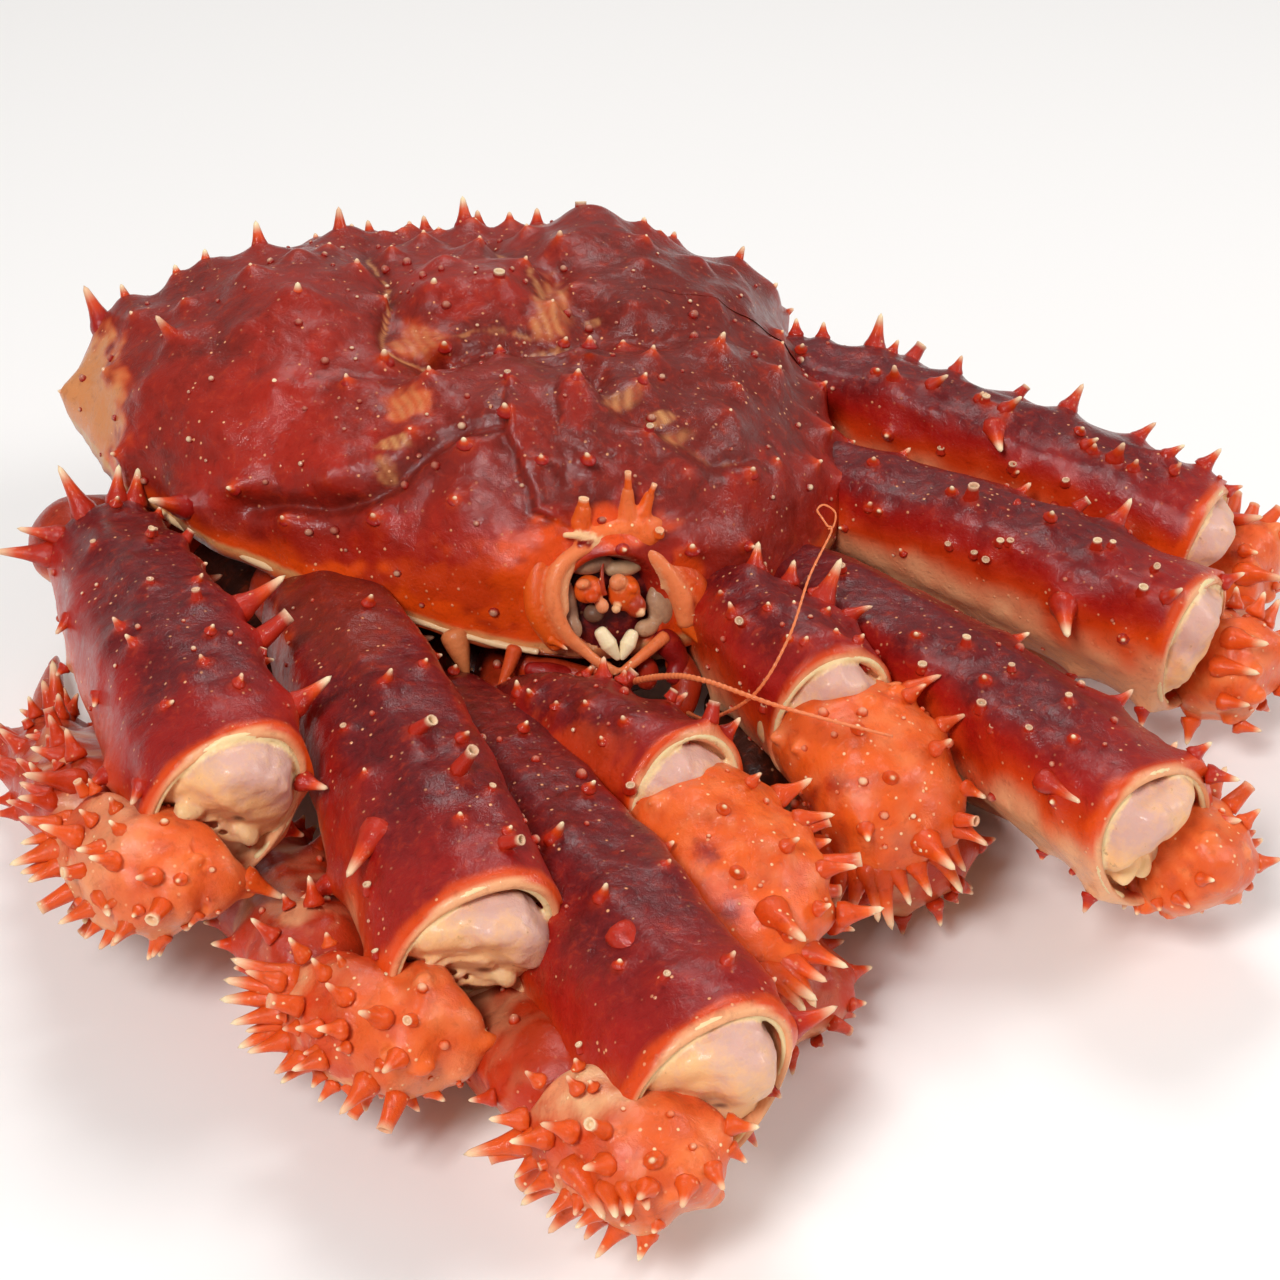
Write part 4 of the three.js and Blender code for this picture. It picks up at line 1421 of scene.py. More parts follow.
@dataclass
class Carapace:
    """The broad shell over the body, with its roof, margin, relief and spines."""

    finish: bpy.types.Material
    centre_y: float = 8.0
    outline: Table = ((-90, 92), (-57, 80), (-30, 80), (-3, 91), (17, 104), (35, 114), (57, 102), (90, 92))
    margin_height: float = 52.0
    side_rise: float = 6.0
    rear_rise: float = 14.0
    roof_height: float = 99.0
    drop_across: float = 5.4
    drop_along: float = 6.2
    underside_height: float = 45.0
    lean: float = 0.067
    roof_part: float = 0.76
    roof_half: tuple[float, float] = (95.0, 92.0)
    columns: int = 400
    rows: int = 226
    stud_tries: int = 190
    cone_tries: int = 700
    hidden_gap: float = 10.0
    mouth: Pixel = (612, 605)
    mouth_half: Pixel = (52, 52)
    mouth_depth: float = 9.0
    lip_angles: tuple[tuple[float, float], ...] = ((-178, -103), (-77, -2))
    swellings: tuple[Swelling, ...] = (
        Swelling(0, 25, 5, 15, 17),
        Swelling(0, -44, 6, 24, 20),
        Swelling(48, 36, 7, 24, 34),
        Swelling(52, -24, 3, 14, 16),
        Swelling(24, 18, -4, 7, 26),
        Swelling(22, -10, -5, 26, 7),
    )
    grooves: tuple[Groove, ...] = (
        Groove(((369, 262), (388, 294), (382, 323), (386, 350), (404, 366), (440, 376)), 9, 1.8, 0.55),
        Groove(((440, 376), (467, 352), (501, 346), (532, 352), (571, 362), (600, 372)), 12, 3.2, 0.0),
        Groove(((486, 249), (506, 264), (527, 288), (541, 302)), 8, 1.6, 0.5),
        Groove(((441, 343), (473, 331), (510, 332), (531, 337)), 6, 0.9, 0.35),
        Groove(((250, 508), (310, 509), (367, 506), (400, 482), (433, 449), (470, 432), (500, 425)), 11, 3.0, 0.0),
        Groove(((596, 379), (608, 400), (633, 419), (663, 434), (691, 452), (709, 468), (740, 470)), 10, 2.2, 0.12),
    )
    edges: tuple[Groove, ...] = (
        Groove(((507, 405), (506, 440), (518, 455), (522, 474), (533, 489), (535, 511), (559, 523)), 13, 1.6, 0.0),
        Groove(((559, 391), (562, 422), (584, 437), (604, 452)), 10, 1.1, 0.0),
    )
    lumps: tuple[Lump, ...] = (
        Lump((590, 232), (50, 22), 4.0), Lump((465, 292), (62, 30), 2.6), Lump((300, 325), (75, 50), 2.4),
        Lump((655, 300), (62, 40), 2.6), Lump((735, 310), (40, 40), 2.2), Lump((205, 405), (95, 70), 2.6),
        Lump((470, 560), (80, 48), 2.0), Lump((575, 478), (34, 30), -2.2), Lump((110, 320), (40, 16), 2.5),
        Lump((350, 470), (60, 22), 1.8), Lump((720, 430), (60, 40), 2.0), Lump((440, 400), (45, 22), 1.2),
        Lump((330, 248), (60, 20), 2.5), Lump((215, 272), (50, 18), 2.0), Lump((110, 420), (16, 50), -2.0),
    )  # fmt: skip
    patches: tuple[Patch, ...] = (
        Patch((551, 317), (24, 29), Coat.ORANGE, 0.2), Patch((551, 317), (21, 26), Coat.PALE, 0.55),
        Patch((414, 348), (34, 18), Coat.ORANGE, 0.35), Patch((414, 348), (28, 13), Coat.PALE, 0.4),
        # Painted shade: the DARK patch at (700, 350) darkens the right of the roof, which is less lit.
        Patch((700, 350), (125, 120), Coat.DARK, 0.9), Patch((490, 588), (115, 46), Coat.ORANGE, 0.45),
        Patch((408, 411), (24, 12), Coat.PALE, 0.5), Patch((408, 411), (28, 15), Coat.ORANGE, 0.5),
        Patch((397, 450), (17, 6), Coat.PALE, 0.8), Patch((388, 474), (10, 13), Coat.PALE, 0.5),
        Patch((622, 402), (18, 8), Coat.PALE, 0.55), Patch((659, 421), (11, 6), Coat.PALE, 0.8),
        Patch((674, 440), (14, 8), Coat.PALE, 0.4), Patch((550, 354), (20, 5), Coat.PALE, 0.5),
        Patch((593, 327), (9, 4), Coat.PALE, 0.5), Patch((574, 478), (44, 40), Coat.DARK, 0.85),
        # Painted shade: the DARK patch at (715, 420) darkens the right of the roof; the one at (480, 352) darkens the
        # deep groove it lies along.
        Patch((715, 420), (85, 62), Coat.DARK, 0.6), Patch((480, 352), (58, 12), Coat.DARK, 0.8),
        Patch((535, 585), (34, 62), Coat.ORANGE, 0.9), Patch((600, 530), (60, 22), Coat.ORANGE, 0.85),
        Patch((440, 618), (110, 16), Coat.ORANGE, 0.6), Patch((320, 575), (60, 12), Coat.ORANGE, 0.6),
        Patch((690, 610), (26, 46), Coat.ORANGE, 0.7), Patch((98, 405), (30, 78), Coat.PALE, 0.7),
        Patch((98, 405), (36, 85), Coat.ORANGE, 0.6), Patch((250, 430), (130, 70), Coat.DARK, -0.35),
        Patch((450, 560), (80, 45), Coat.DARK, -0.5), Patch((470, 300), (60, 28), Coat.DARK, -0.4),
    )  # fmt: skip
    cone_gap: float = 14.0
    cone_broad: float = 1.65
    hangings: tuple[Hanging, ...] = (
        Hanging((452, 628), ((6, 16), (16, 48)), (4.2, 2.6, 0.3), 0.55, 0.8),
        Hanging((520, 640), ((-8, 22), (-20, 50)), (2.2, 1.5, 0.3), 0.1, 0.7),
    )
    seen_spines: tuple[SeenSpine, ...] = seen(
        "92 318 84 282  129 313 124 290  184 302 178 276  205 277 206 255  259 248 257 227  255 286 252 268 "
        "300 315 300 290  339 236 340 213  351 262 352 235  357 287 358 264  384 247 384 235  402 245 403 233 "
        "411 241 410 226  412 258 411 243  439 243 439 231  464 229 464 202  474 258 475 233  510 236 510 217 "
        "559 258 560 237  435 307 435 285  186 351 163 323  116 384 107 372  278 400 277 384  386 376 386 356 "
        "224 441 224 433  501 364 500 351  642 238 644 222  660 247 660 234  740 269 741 251  764 296 774 287 "
        "731 284 731 269  622 361 623 344  712 364 722 338  812 430 830 429  773 474 776 463  746 486 752 471 "
        "542 469 542 459  587 471 588 457  505 425 506 408  466 455 465 442  455 511 456 500  504 580 504 572 "
        "692 560 692 548  685 482 685 474  195 508 158 503  292 527 285 519  377 530 375 517",
        "496 298 500 276  581 217 581 205  597 217 597 210  643 276 643 265  508 388 508 377  646 440 649 430",
    )  # fmt: skip

    def radius(self, around: np.ndarray) -> np.ndarray:
        """Reads how far the margin is from the middle.

        Args:
            around: angles from +X.

        Returns:
            The distances.
        """
        degrees = np.degrees(around)
        folded = np.where(np.abs(degrees) > 90, np.sign(degrees) * (180 - np.abs(degrees)), degrees)
        return smooth_table(self.outline, folded)

    def roof(self, x: np.ndarray, y: np.ndarray) -> np.ndarray:
        """Works out the roof before it falls to the margin.

        Args:
            x: how far to the crab's left.
            y: how far to its rear.

        Returns:
            The roof's height over the ground.
        """
        along = np.abs((y - self.centre_y) / self.roof_half[1])
        height = self.roof_height - self.drop_along * along**3 - self.drop_across * (x / self.roof_half[0]) ** 2
        for swelling in self.swellings:
            height = height + swelling.height * np.exp(
                -(((np.abs(x) - swelling.x) / swelling.across) ** 2) - ((y - swelling.y) / swelling.along) ** 2
            )
        return height

    def fall(self, around: np.ndarray, share: np.ndarray) -> np.ndarray:
        """Works out how the roof falls to the margin.

        Args:
            around: angles from +X.
            share: how far out, from 0 at the middle to 1 at the margin.

        Returns:
            How high over the margin the roof is, from 1 at its top to 0.
        """
        front = np.clip(-np.sin(around), 0, None) ** 6
        steep = 3.2 + (9 - 3.2) * front
        return (1 - np.clip(share, 0, 1) ** steep) ** 0.5

    def surface(self, around: np.ndarray, share: np.ndarray, above: np.ndarray) -> np.ndarray:
        """Finds places on the carapace.

        Args:
            around: angles from +X.
            share: how far out, from 0 at the middle to 1 at the margin.
            above: whether each is on the roof or on the underside.

        Returns:
            The places.
        """
        reach = self.radius(around) * share
        x, y = reach * np.cos(around), self.centre_y + reach * np.sin(around)
        rear = np.clip(np.sin(around), 0, None) ** 2
        margin = self.margin_height + self.side_rise * np.cos(around) ** 2 + self.rear_rise * rear
        top = margin + (self.roof(x, y) - margin) * self.fall(around, share)
        under = self.underside_height + (margin - 2 - self.underside_height) * share**3
        return np.stack((x, y, np.where(above, top, under) - self.lean * x), axis=-1)

    def spines(self, places: np.ndarray, normals: np.ndarray) -> list[Spine]:
        """Sets the spines: those that are seen, those of the far side, and cones between them.

        Args:
            places: the shell's places.
            normals: its outward directions.

        Returns:
            The spines.
        """
        facing = VIEW.facing(places, normals)
        found = [plan.spine(places, normals, facing, number) for number, plan in enumerate(self.seen_spines)]
        for number, degrees in enumerate(range(2, 180, 11)):
            for line, share in enumerate((0.985, 0.86, 0.7)):
                around = math.radians(degrees + 5 * line)
                spot = self.surface(np.array(around), np.array(share), np.array(True))
                k = int(np.argmin(np.linalg.norm(places - spot, axis=1)))
                nearest = min(np.linalg.norm(spine.foot - places[k]) for spine in found)
                if facing[k] > -0.1 or nearest < self.hidden_gap:
                    continue
                length = 6 + 4 * scatter(number, line + 0.4)
                found.append(Spine(places[k], normals[k], length, stoutness(length), pale=0.7))
        rng = np.random.default_rng(17)
        open_to = self.recess(VIEW.pixels(places), (facing > 0).astype(float)) < 0.01
        usable = np.flatnonzero((normals[:, 2] > 0.3) & (places[:, 2] > self.margin_height + 9) & open_to)
        for k in rng.choice(usable, size=self.cone_tries, replace=False):
            feet = np.array([spine.foot for spine in found])
            if np.linalg.norm(feet - places[k], axis=1).min() > self.cone_gap:
                length = 3.8 + 2.2 * rng.random()
                found.append(Spine(places[k], normals[k], length, stoutness(length, 0.7), pale=0.8))
        return [replace(spine, broad=self.cone_broad) for spine in found]

    def front(self, places: np.ndarray) -> np.ndarray:
        """How far each place is on the side of the roof that is turned to the camera."""
        return (places - np.array((0, self.centre_y + 70, self.margin_height))) @ VIEW.axes()[2] / 60

    def recess(self, pixels: np.ndarray, front: np.ndarray) -> np.ndarray:
        """How far inside the mouth's opening places are, from 0 to 1."""
        return rise(1.0, 0.8, oval_distance(pixels, self.mouth, self.mouth_half)) * front

    def relief(self, places: np.ndarray, front: np.ndarray, pixels: np.ndarray) -> np.ndarray:
        """Adds up the lumps, grooves and plate edges.

        Args:
            places: the shell's places.
            front: how fully each faces the camera.
            pixels: where each shows.

        Returns:
            How far each place moves outwards.
        """
        move = 1.2 * cloud(places, 18, 1) + 0.8 * cloud(places, 8, 2) + 0.3 * cloud(places, 3.2, 3)
        for lump in self.lumps:
            away = oval_distance(pixels, lump.centre, lump.half)
            move += 1.3 * lump.height * np.exp(-(away**2)) * rise(-0.35, 0.1, self.front(places))
        for groove in self.grooves:
            away = groove.swaying(places, pixels, GROOVE_SWAY)
            move -= groove.depth * np.exp(-((away / groove.half_width) ** 2)) * front
        for edge in self.edges:
            away = edge.swaying(places, pixels, EDGE_SWAY)
            move += edge.depth * np.tanh(away / 3) * np.exp(-np.abs(away) / edge.half_width) * front
        return move - self.mouth_depth * self.recess(pixels, front)

    def colour(
        self, blank: Blank, normals: np.ndarray, height: np.ndarray, above: np.ndarray, front: np.ndarray,
        pixels: np.ndarray, level: np.ndarray,
    ) -> None:  # fmt: skip
        """Paints the shell, with painted shade along its grooves, a painted shadow below its plate edges, and painted
        shade on its underside and in the mouth's recess.

        Args:
            blank: the shell.
            normals: its outward directions.
            height: how high over the margin each place is, from 0 to 1.
            above: whether it is on the roof.
            front: how fully it faces the camera.
            pixels: where it shows.
            level: how far up a spine's tent it is.
        """
        places = blank.places
        broad, small, fine = cloud(places, 16, 5), cloud(places, 5, 6), cloud(places, 2.5, 12)
        up = normals[:, 2] + 0.25 * broad + 0.12 * small
        edge = rise(0.22, 0.04, height + 0.06 * small + 0.05 * broad) * above
        flute = 0.65 + 0.35 * np.sin(pixels @ np.array((0.9, -0.5)) / 1.6 + 2 * small)
        dark = 0.62 * rise(-0.2, 0.75, up) + 0.3 * broad + 0.12 * small
        orange = 0.8 * edge + 0.1
        pale = np.where(above, 0.85 * rise(0.055, 0.02, height + 0.01 * fine), 0.05)
        for groove in self.grooves:
            away = np.abs(groove.swaying(places, pixels, GROOVE_SWAY))
            broken = rise(-0.5, 0.2, fine + 0.5 * small)
            pale = np.maximum(pale, groove.pale * rise(2.6, 0.7, away) * front * broken)
            # Painted shade: each groove is painted darker along its bottom.
            dark += 0.5 * np.exp(-((away / groove.half_width) ** 2)) * front
        for edge_line in self.edges:
            away = edge_line.swaying(places, pixels, EDGE_SWAY)
            # Painted shadow: the lower side of each plate edge is painted darker, fading away from the edge.
            dark += 0.8 * np.exp(np.minimum(away, 0) / 9) * (away < 0) * front
        # Painted shade: the underside under the margin is painted fully dark.
        values = {Coat.DARK: np.where(above, dark, 1.0), Coat.ORANGE: orange, Coat.PALE: pale}
        for patch in self.patches:
            inside = patch.inside(places, pixels) * front
            if patch.channel is Coat.PALE and patch.half[1] < 40:
                inside = inside * flute
            values[patch.channel] = values[patch.channel] + patch.amount * inside
        for channel, value in values.items():
            blank.paint[:, channel] = np.clip(value, 0, 1)
        golden = blank.paint[:, Coat.PALE] * above
        blank.paint[:, Coat.DARK] *= 1 - np.clip(0.9 * golden, 0, 1)
        blank.paint[:, Coat.DARK] *= 1 - 0.5 * rise(0.2, 0.9, level)
        blank.deepen(Coat.ORANGE, 0.75 * rise(0.45, 1.0, level))
        # Painted shade: the mouth's recess is painted dark, and its orange and pale are taken out.
        hollow = self.recess(pixels, front)
        blank.deepen(Coat.DARK, hollow)
        for channel in (Coat.ORANGE, Coat.PALE):
            blank.paint[:, channel] *= 1 - hollow

    def build(self) -> None:
        """Builds the shell with its trim, and its spines."""
        blank = Blank(self.columns, self.rows)
        share, around = blank.share(), blank.around()
        from_top = 1 - share
        above = from_top <= self.roof_part
        out = np.clip(from_top / self.roof_part, 0, 1)
        inwards = np.clip((1 - from_top) / (1 - self.roof_part), 0, 1)
        spread = np.where(above, 1 - (1 - out) ** 2, np.sin(inwards * math.pi / 2))
        blank.places = self.surface(around, spread, above)
        normals = blank.normals()
        pixels = VIEW.pixels(blank.places)
        front = rise(0.0, 0.15, VIEW.facing(blank.places, normals))
        spines = self.spines(blank.places, normals)
        bare = blank.places + self.relief(blank.places, front, pixels)[:, None] * normals
        raised, level = tents(bare, normals, spines)
        blank.places = bare + raised
        self.colour(blank, normals, self.fall(around, spread), above, front, pixels, level)
        usable = above & (level < 0.35) & (spread > 0.08) & (self.recess(pixels, front) < 0.01)
        spines += studs(blank.places, blank.normals(), usable, self.stud_tries, 5)
        horns = [spine.raised().blank() for spine in spines]
        add_piece([blank, *self.trim()], "shell_roof", self.finish, "shell", "carapace")
        add_piece(horns, "shell_spines", self.finish, "shell")

    def trim(self) -> list[Blank]:
        """Shapes the thin cream lip along both sides of the mouth, and what hangs from it.

        Returns:
            A tube for each.
        """
        lips, scraps, count = [], [], 22
        for start, end in self.lip_angles:
            margin = self.surface(np.radians(np.linspace(start, end, count)), np.array(1.0), np.array(True))
            thick = tuple(0.7 + 0.5 * scatter(3, start + i) for i in range(count))
            lips.append(tube(list(margin - 0.4 * SKY), thick, 10, 200, pale=1, horn=0.5))
            if scraps:
                continue
            for scrap in self.hangings:
                top = margin[int(np.argmin(np.hypot(*(VIEW.pixels(margin) - np.array(scrap.pixel)).T)))]
                route = [top + 0.5 * SKY] + [top + VIEW.step_mm(top, step) for step in scrap.steps]
                scraps.append(tube(route, scrap.radii, 14, 40, pale=scrap.pale, orange=scrap.orange))
        return lips + scraps


# ---------------------------------------------------------------- legs and claws


@dataclass(frozen=True)
class LegPlan:
    """Where one walking leg goes.

    Args:
        name: the leg's name.
        hip: where it leaves the body.
        bow: how far the hip segment bows outward.
        root: where its upper starts.
        knee: where its upper ends.
        fold: how far outward of the knee the shin starts.
        drop: how far below the knee.
        back: how far behind the knee.
        bulge: how far the elbow bulges forward.
    """

    name: str
    hip: Place
    bow: float
    root: Place
    knee: Place
    fold: float
    drop: float
    back: float
    bulge: float


@dataclass(frozen=True)
class ClawPlan:
    """Where one claw arm goes: its hip, its arm from root to wrist, its bent wrist, its hand and its tip."""

    name: str
    hip: Place
    root: Place
    wrist: Place
    elbow: tuple[Place, Place, Place]
    hand: tuple[Place, Place, Place]
    toe: Place


LEG_PLANS = (
    LegPlan("right_leg_3", (-60, 34, 32), 21, (-107, 12, 51), (-108, -115, 54), 23, 13, 20, 12),
    LegPlan("right_leg_2", (-52, -6, 31), 6, (-62, -22, 48), (-72, -178, 47), 27, 16, 20, 12),
    LegPlan("right_leg_1", (-36, -38, 30), 6, (-46, -62, 33), (-41, -231, 42), 20.5, 9, 18, 10),
    LegPlan("left_leg_3", (60, 34, 33), 12, (86, 30, 56), (170, -70, 36), 22, 17, 20, 14),
    LegPlan("left_leg_2", (52, 0, 32), 8, (66, -8, 49), (139, -117, 41), 23, 18, 20, 14),
    LegPlan("left_leg_1", (40, -30, 31), 6, (52, -46, 42), (89, -184, 40), 17, 15, 27, 6),
)
CLAW_PLANS = (
    ClawPlan(
        "left_claw", (16, -44, 33), (29, -70, 48), (35, -127, 51),
        ((35, -123, 46), (38, -149, 47), (42, -153, 32)),
        ((45, -153, 25), (46, -132, 13), (44, -108, 11)), (41, -72, 10),
    ),
    ClawPlan(
        "right_claw", (-14, -44, 30), (-28, -78, 34), (-9, -143, 48),
        ((-9, -139, 43), (-8, -168, 46), (-4, -181, 30)),
        ((-4, -184, 20), (-1, -166, 12), (3, -146, 11)), (10, -108, 10),
    ),
)  # fmt: skip


# Where the spines of the limbs show: the pixels of each one's foot and of its tip.
SEEN_SPINES: dict[str, tuple[SeenSpine, ...]] = {
    "right_leg_3_upper": seen(
        "36 549 0 551  68 483 55 457  116 489 118 468  136 505 138 470  158 528 159 513  258 596 294 573 "
        "285 712 329 680  208 668 202 656  160 708 174 702  296 776 326 788  137 756 103 778  146 775 136 801 "
        "126 634 116 619  138 650 129 636  86 680 114 682  100 688 96 705  75 612 60 632  48 520 22 530",
        "96 551 95 546  192 537 191 531  151 590 151 580  198 606 197 590  264 664 263 655  268 636 291 614 "
        "250 738 262 722  153 540 155 530",
    ),
    "right_leg_2_upper": seen(
        "384 692 392 670  458 824 461 813  367 781 366 774  540 922 575 937  383 825 350 873  345 985 325 998 "
        "357 985 351 1002  387 990 384 1010  316 886 302 900",
        "408 738 434 718  452 778 475 749  495 846 522 838  482 924 481 905  369 900 368 884  380 965 376 952 "
        "347 737 346 730  492 797 492 790",
    ),
    "right_leg_1_upper": seen(
        "550 850 562 822  600 905 606 884  618 930 657 966  621 970 620 960  735 1050 752 1044  755 1080 772 1090 "
        "618 1160 621 1181",
        "664 984 666 975  584 1056 580 1046  552 1062 554 1053  681 1060 680 1049",
    ),
    "left_leg_1_upper": seen(
        "1040 775 1075 799  1190 752 1209 744  1213 760 1236 779  1205 822 1232 821",
        "966 652 966 637  1011 677 1011 669  981 716 980 702  1068 708 1068 695  1028 738 1028 730 "
        "1122 778 1121 765  991 735 991 729  921 677 921 664",
    ),
    "left_leg_2_upper": seen(
        "871 512 869 504  848 528 841 528  905 556 902 552  1062 600 1058 640  1160 600 1176 591  1010 502 1023 508 "
        "1215 585 1241 574",
        "970 508 971 487  948 553 948 546  974 562 973 555  1060 620 1058 592  1094 553 1095 541  1140 600 1141 587 "
        "1110 553 1111 545  1055 520 1078 506  999 548 999 541  1008 548 1009 541",
    ),
    "left_leg_3_upper": seen(
        "797 345 796 325  823 350 823 329  872 362 880 321  886 364 895 346  893 387 893 369  945 391 956 368 "
        "925 390 944 378  1000 415 1017 400  1052 434 1073 401  1080 450 1094 440  1090 457 1093 446 "
        "1110 464 1119 446  1130 472 1134 462  1143 472 1169 454  1190 476 1214 456  1222 492 1240 486 "
        "1232 527 1255 520  994 425 995 453",
        "983 410 985 397  1011 475 1011 465  1064 489 1064 481  887 464 887 448  948 486 948 474  940 457 940 449",
    ),
    "left_leg_3_elbow": seen("1240 575 1274 578  1235 600 1255 604  1238 550 1252 553"),
    "left_leg_2_elbow": seen(
        "1225 640 1257 645  1215 700 1242 705  1200 722 1241 728  1180 728 1188 742  1210 665 1250 672",
    ),
    "left_leg_1_elbow": seen(
        "1195 878 1209 878  1172 893 1185 904  1140 895 1137 908  1120 890 1125 907  1155 895 1158 908",
    ),
    "right_claw_arm": seen(
        "603 705 603 673  556 714 556 706  603 747 602 739  538 778 538 770  566 777 566 769  480 722 470 706 "
        "520 700 517 682",
        "493 796 492 789  629 797 630 785  686 754 684 740  714 714 715 702",
    ),
    "left_claw_arm": seen(
        "750 605 755 563  792 582 793 563  830 592 841 562  795 613 794 604  769 615 768 604  805 648 806 638 "
        "836 642 836 630  735 620 730 604",
        "861 674 862 656  812 680 812 672  763 718 763 709  720 702 714 704",
    ),
    "right_claw_wrist": seen(
        "772 825 820 815  780 925 796 933  765 905 800 935  790 945 838 961  770 975 815 1000  780 1005 830 1027 "
        "775 955 817 975  800 990 812 1000",
        "790 870 845 861",
    ),
    "left_claw_wrist": seen(
        "901 820 933 852  938 778 969 790  956 855 964 868  942 862 961 889  866 845 876 905  893 872 911 901 "
        "920 874 929 893  880 905 888 930  860 885 850 914  806 862 803 912  826 866 822 912  841 866 834 905 "
        "864 822 866 838  925 812 966 832",
    ),
    "right_leg_3_shin": seen(
        "50 723 25 712  55 692 43 683  62 664 53 656  85 782 22 772  60 800 28 796  48 788 33 764  70 760 36 748 "
        "62 742 30 736  80 700 62 690",
    ),
    "right_leg_3_elbow": seen(
        "75 842 22 860  80 850 45 872  85 870 86 905  125 893 99 923  140 898 126 926  178 903 161 939 "
        "95 825 42 838  70 815 30 822  100 885 112 912  260 872 279 899  200 905 190 925  110 850 84 848",
    ),
    "right_leg_2_elbow": seen(
        "250 965 205 975  255 985 216 998  262 1005 236 1021  290 1038 252 1050  300 1050 280 1068 "
        "330 1058 318 1078  365 1072 366 1097  395 1080 412 1102  420 1084 440 1098  345 1062 350 1086 "
        "235 945 213 950  280 1020 250 1030",
    ),
    "right_leg_1_elbow": seen(
        "500 1140 466 1153  560 1165 537 1183  572 1163 605 1206  608 1180 615 1208  684 1172 683 1198 "
        "705 1160 722 1182  752 1108 755 1128  590 1175 580 1200  640 1180 648 1200  545 1150 520 1172 "
        "735 1140 745 1160  625 1180 630 1205",
    ),
}  # fmt: skip


def bowed(start: np.ndarray, end: np.ndarray, bow: np.ndarray) -> tuple[np.ndarray, np.ndarray, np.ndarray]:
    """The three places of a route from one place to another, bowed between them."""
    return start, (start + end) / 2 + bow, end


def knee_membrane(upper: Limb) -> Limb:
    """Lays out the membrane that closes the end of an upper segment, about the same axis.

    Args:
        upper: the upper segment.

    Returns:
        The membrane.
    """
    centre, _, _, forward = upper.frames(np.array(1.0))
    low = -3.0 * upper.up
    path = (centre - 7 * forward, centre - 4 * forward, centre - 0.4 * forward + low)
    return Limb(path, upper.up, upper.half, MEMBRANE_PROFILE)


# Where the pinched lobes of the knees show: pixels to the right of the rim's middle and below it.
KNEE_LOBES: dict[str, tuple[Pixel, Pixel]] = {
    "right_leg_3": ((40, 54), (-58, -18)),
    "right_leg_2": ((50, 42), (-66, 12)),
    "right_leg_1": ((52, 2), (-56, 44)),
    "left_leg_1": ((2, 52), (-38, 44)),
    "left_leg_2": ((28, 44), (-40, 34)),
    "left_leg_3": ((24, 34), (-34, 26)),
    "right_claw": ((-30, 44), (34, -28)),
    "left_claw": ((-44, 26), (48, -10)),
}


# The cream lip inside a knee's rim: its half turn in degrees, and its place along the upper and out from it.
LIP_BEARING = 118
LIP_PLACE = (0.998, 0.885)
LOBE_RADII = (1.2, 2.0, 2.6)
FOLD_RADII = (1.3, 0.8, 0.35)


def knee_skin(upper: Limb, membrane: Blank, name: str, seed: int) -> bpy.types.Mesh:
    """Melts a knee's membrane, its pinched lobes and folds, and the cream lip of the rim into one skin.

    Args:
        upper: the segment whose end the membrane closes.
        membrane: the membrane's own dome.
        name: the limb's name.
        seed: makes its details its own.

    Returns:
        The finished mesh.
    """
    centre, _, _, forward = upper.frames(np.array(1.0))
    count = 13
    bearing = np.radians(np.linspace(-LIP_BEARING, LIP_BEARING, count))
    lip = upper.at(np.full(count, LIP_PLACE[0]), bearing, np.full(count, LIP_PLACE[1]))
    thick = tuple(0.75 + 0.3 * scatter(seed, i) for i in range(count))
    parts = [membrane, tube(list(lip), thick, 10, 90, horn=0.9, pale=1)]
    for number, offset in enumerate(KNEE_LOBES[name]):
        end = centre + VIEW.step_mm(centre, offset)
        end = end - forward * float((end - centre) @ forward) + 0.4 * forward
        start = centre + 0.45 * (end - centre)
        lobe = [start, (start + end) / 2 + 0.8 * forward, end]
        parts.append(tube(lobe, LOBE_RADII, 14, 30, pale=1, horn=0.45))
        aside = np.cross(unit(end - centre), forward)
        for fold in (-2, -1, 1, 2):
            tip = centre + aside * fold * 2.6 + (end - centre) * (0.2 * scatter(seed, fold + number) - 0.1)
            route = [end - 0.6 * forward, (end + tip) / 2 + 0.9 * aside * fold, tip]
            parts.append(tube(route, FOLD_RADII, 10, 24, pale=0.9))
    spot = centre + VIEW.step_mm(centre, (8 + 8 * scatter(seed, 4.4), 6 + 8 * scatter(seed, 5.5))) - 0.4 * forward
    parts[0].paint[:, Coat.DARK] = rise(2.4, 0.6, np.linalg.norm(membrane.places - spot, axis=1))
    return fused(parts, f"{name}_membrane_skin", 0.55, 2)


def wet_bumps(body: Blank, count: int, seed: int) -> list[Blank]:
    """Makes small soft bumps on the first part of a segment, painted orange.

    Args:
        body: the segment's blank.
        count: how many.
        seed: picks where they are.

    Returns:
        The bumps.
    """
    rng = np.random.default_rng(seed + 11)
    choices = np.flatnonzero((body.share() > 0.16) & (body.share() < 0.5))
    found = []
    for k in rng.choice(choices, size=count, replace=False):
        size = 1.0 + 1.3 * rng.random()
        bump = oval(tuple(body.places[k]), (1.5 * size, size, size), 14, 10, 0.3, seed)
        found.append(bump.coat(orange=0.95, pale=0.25 * rng.random()))
    return found


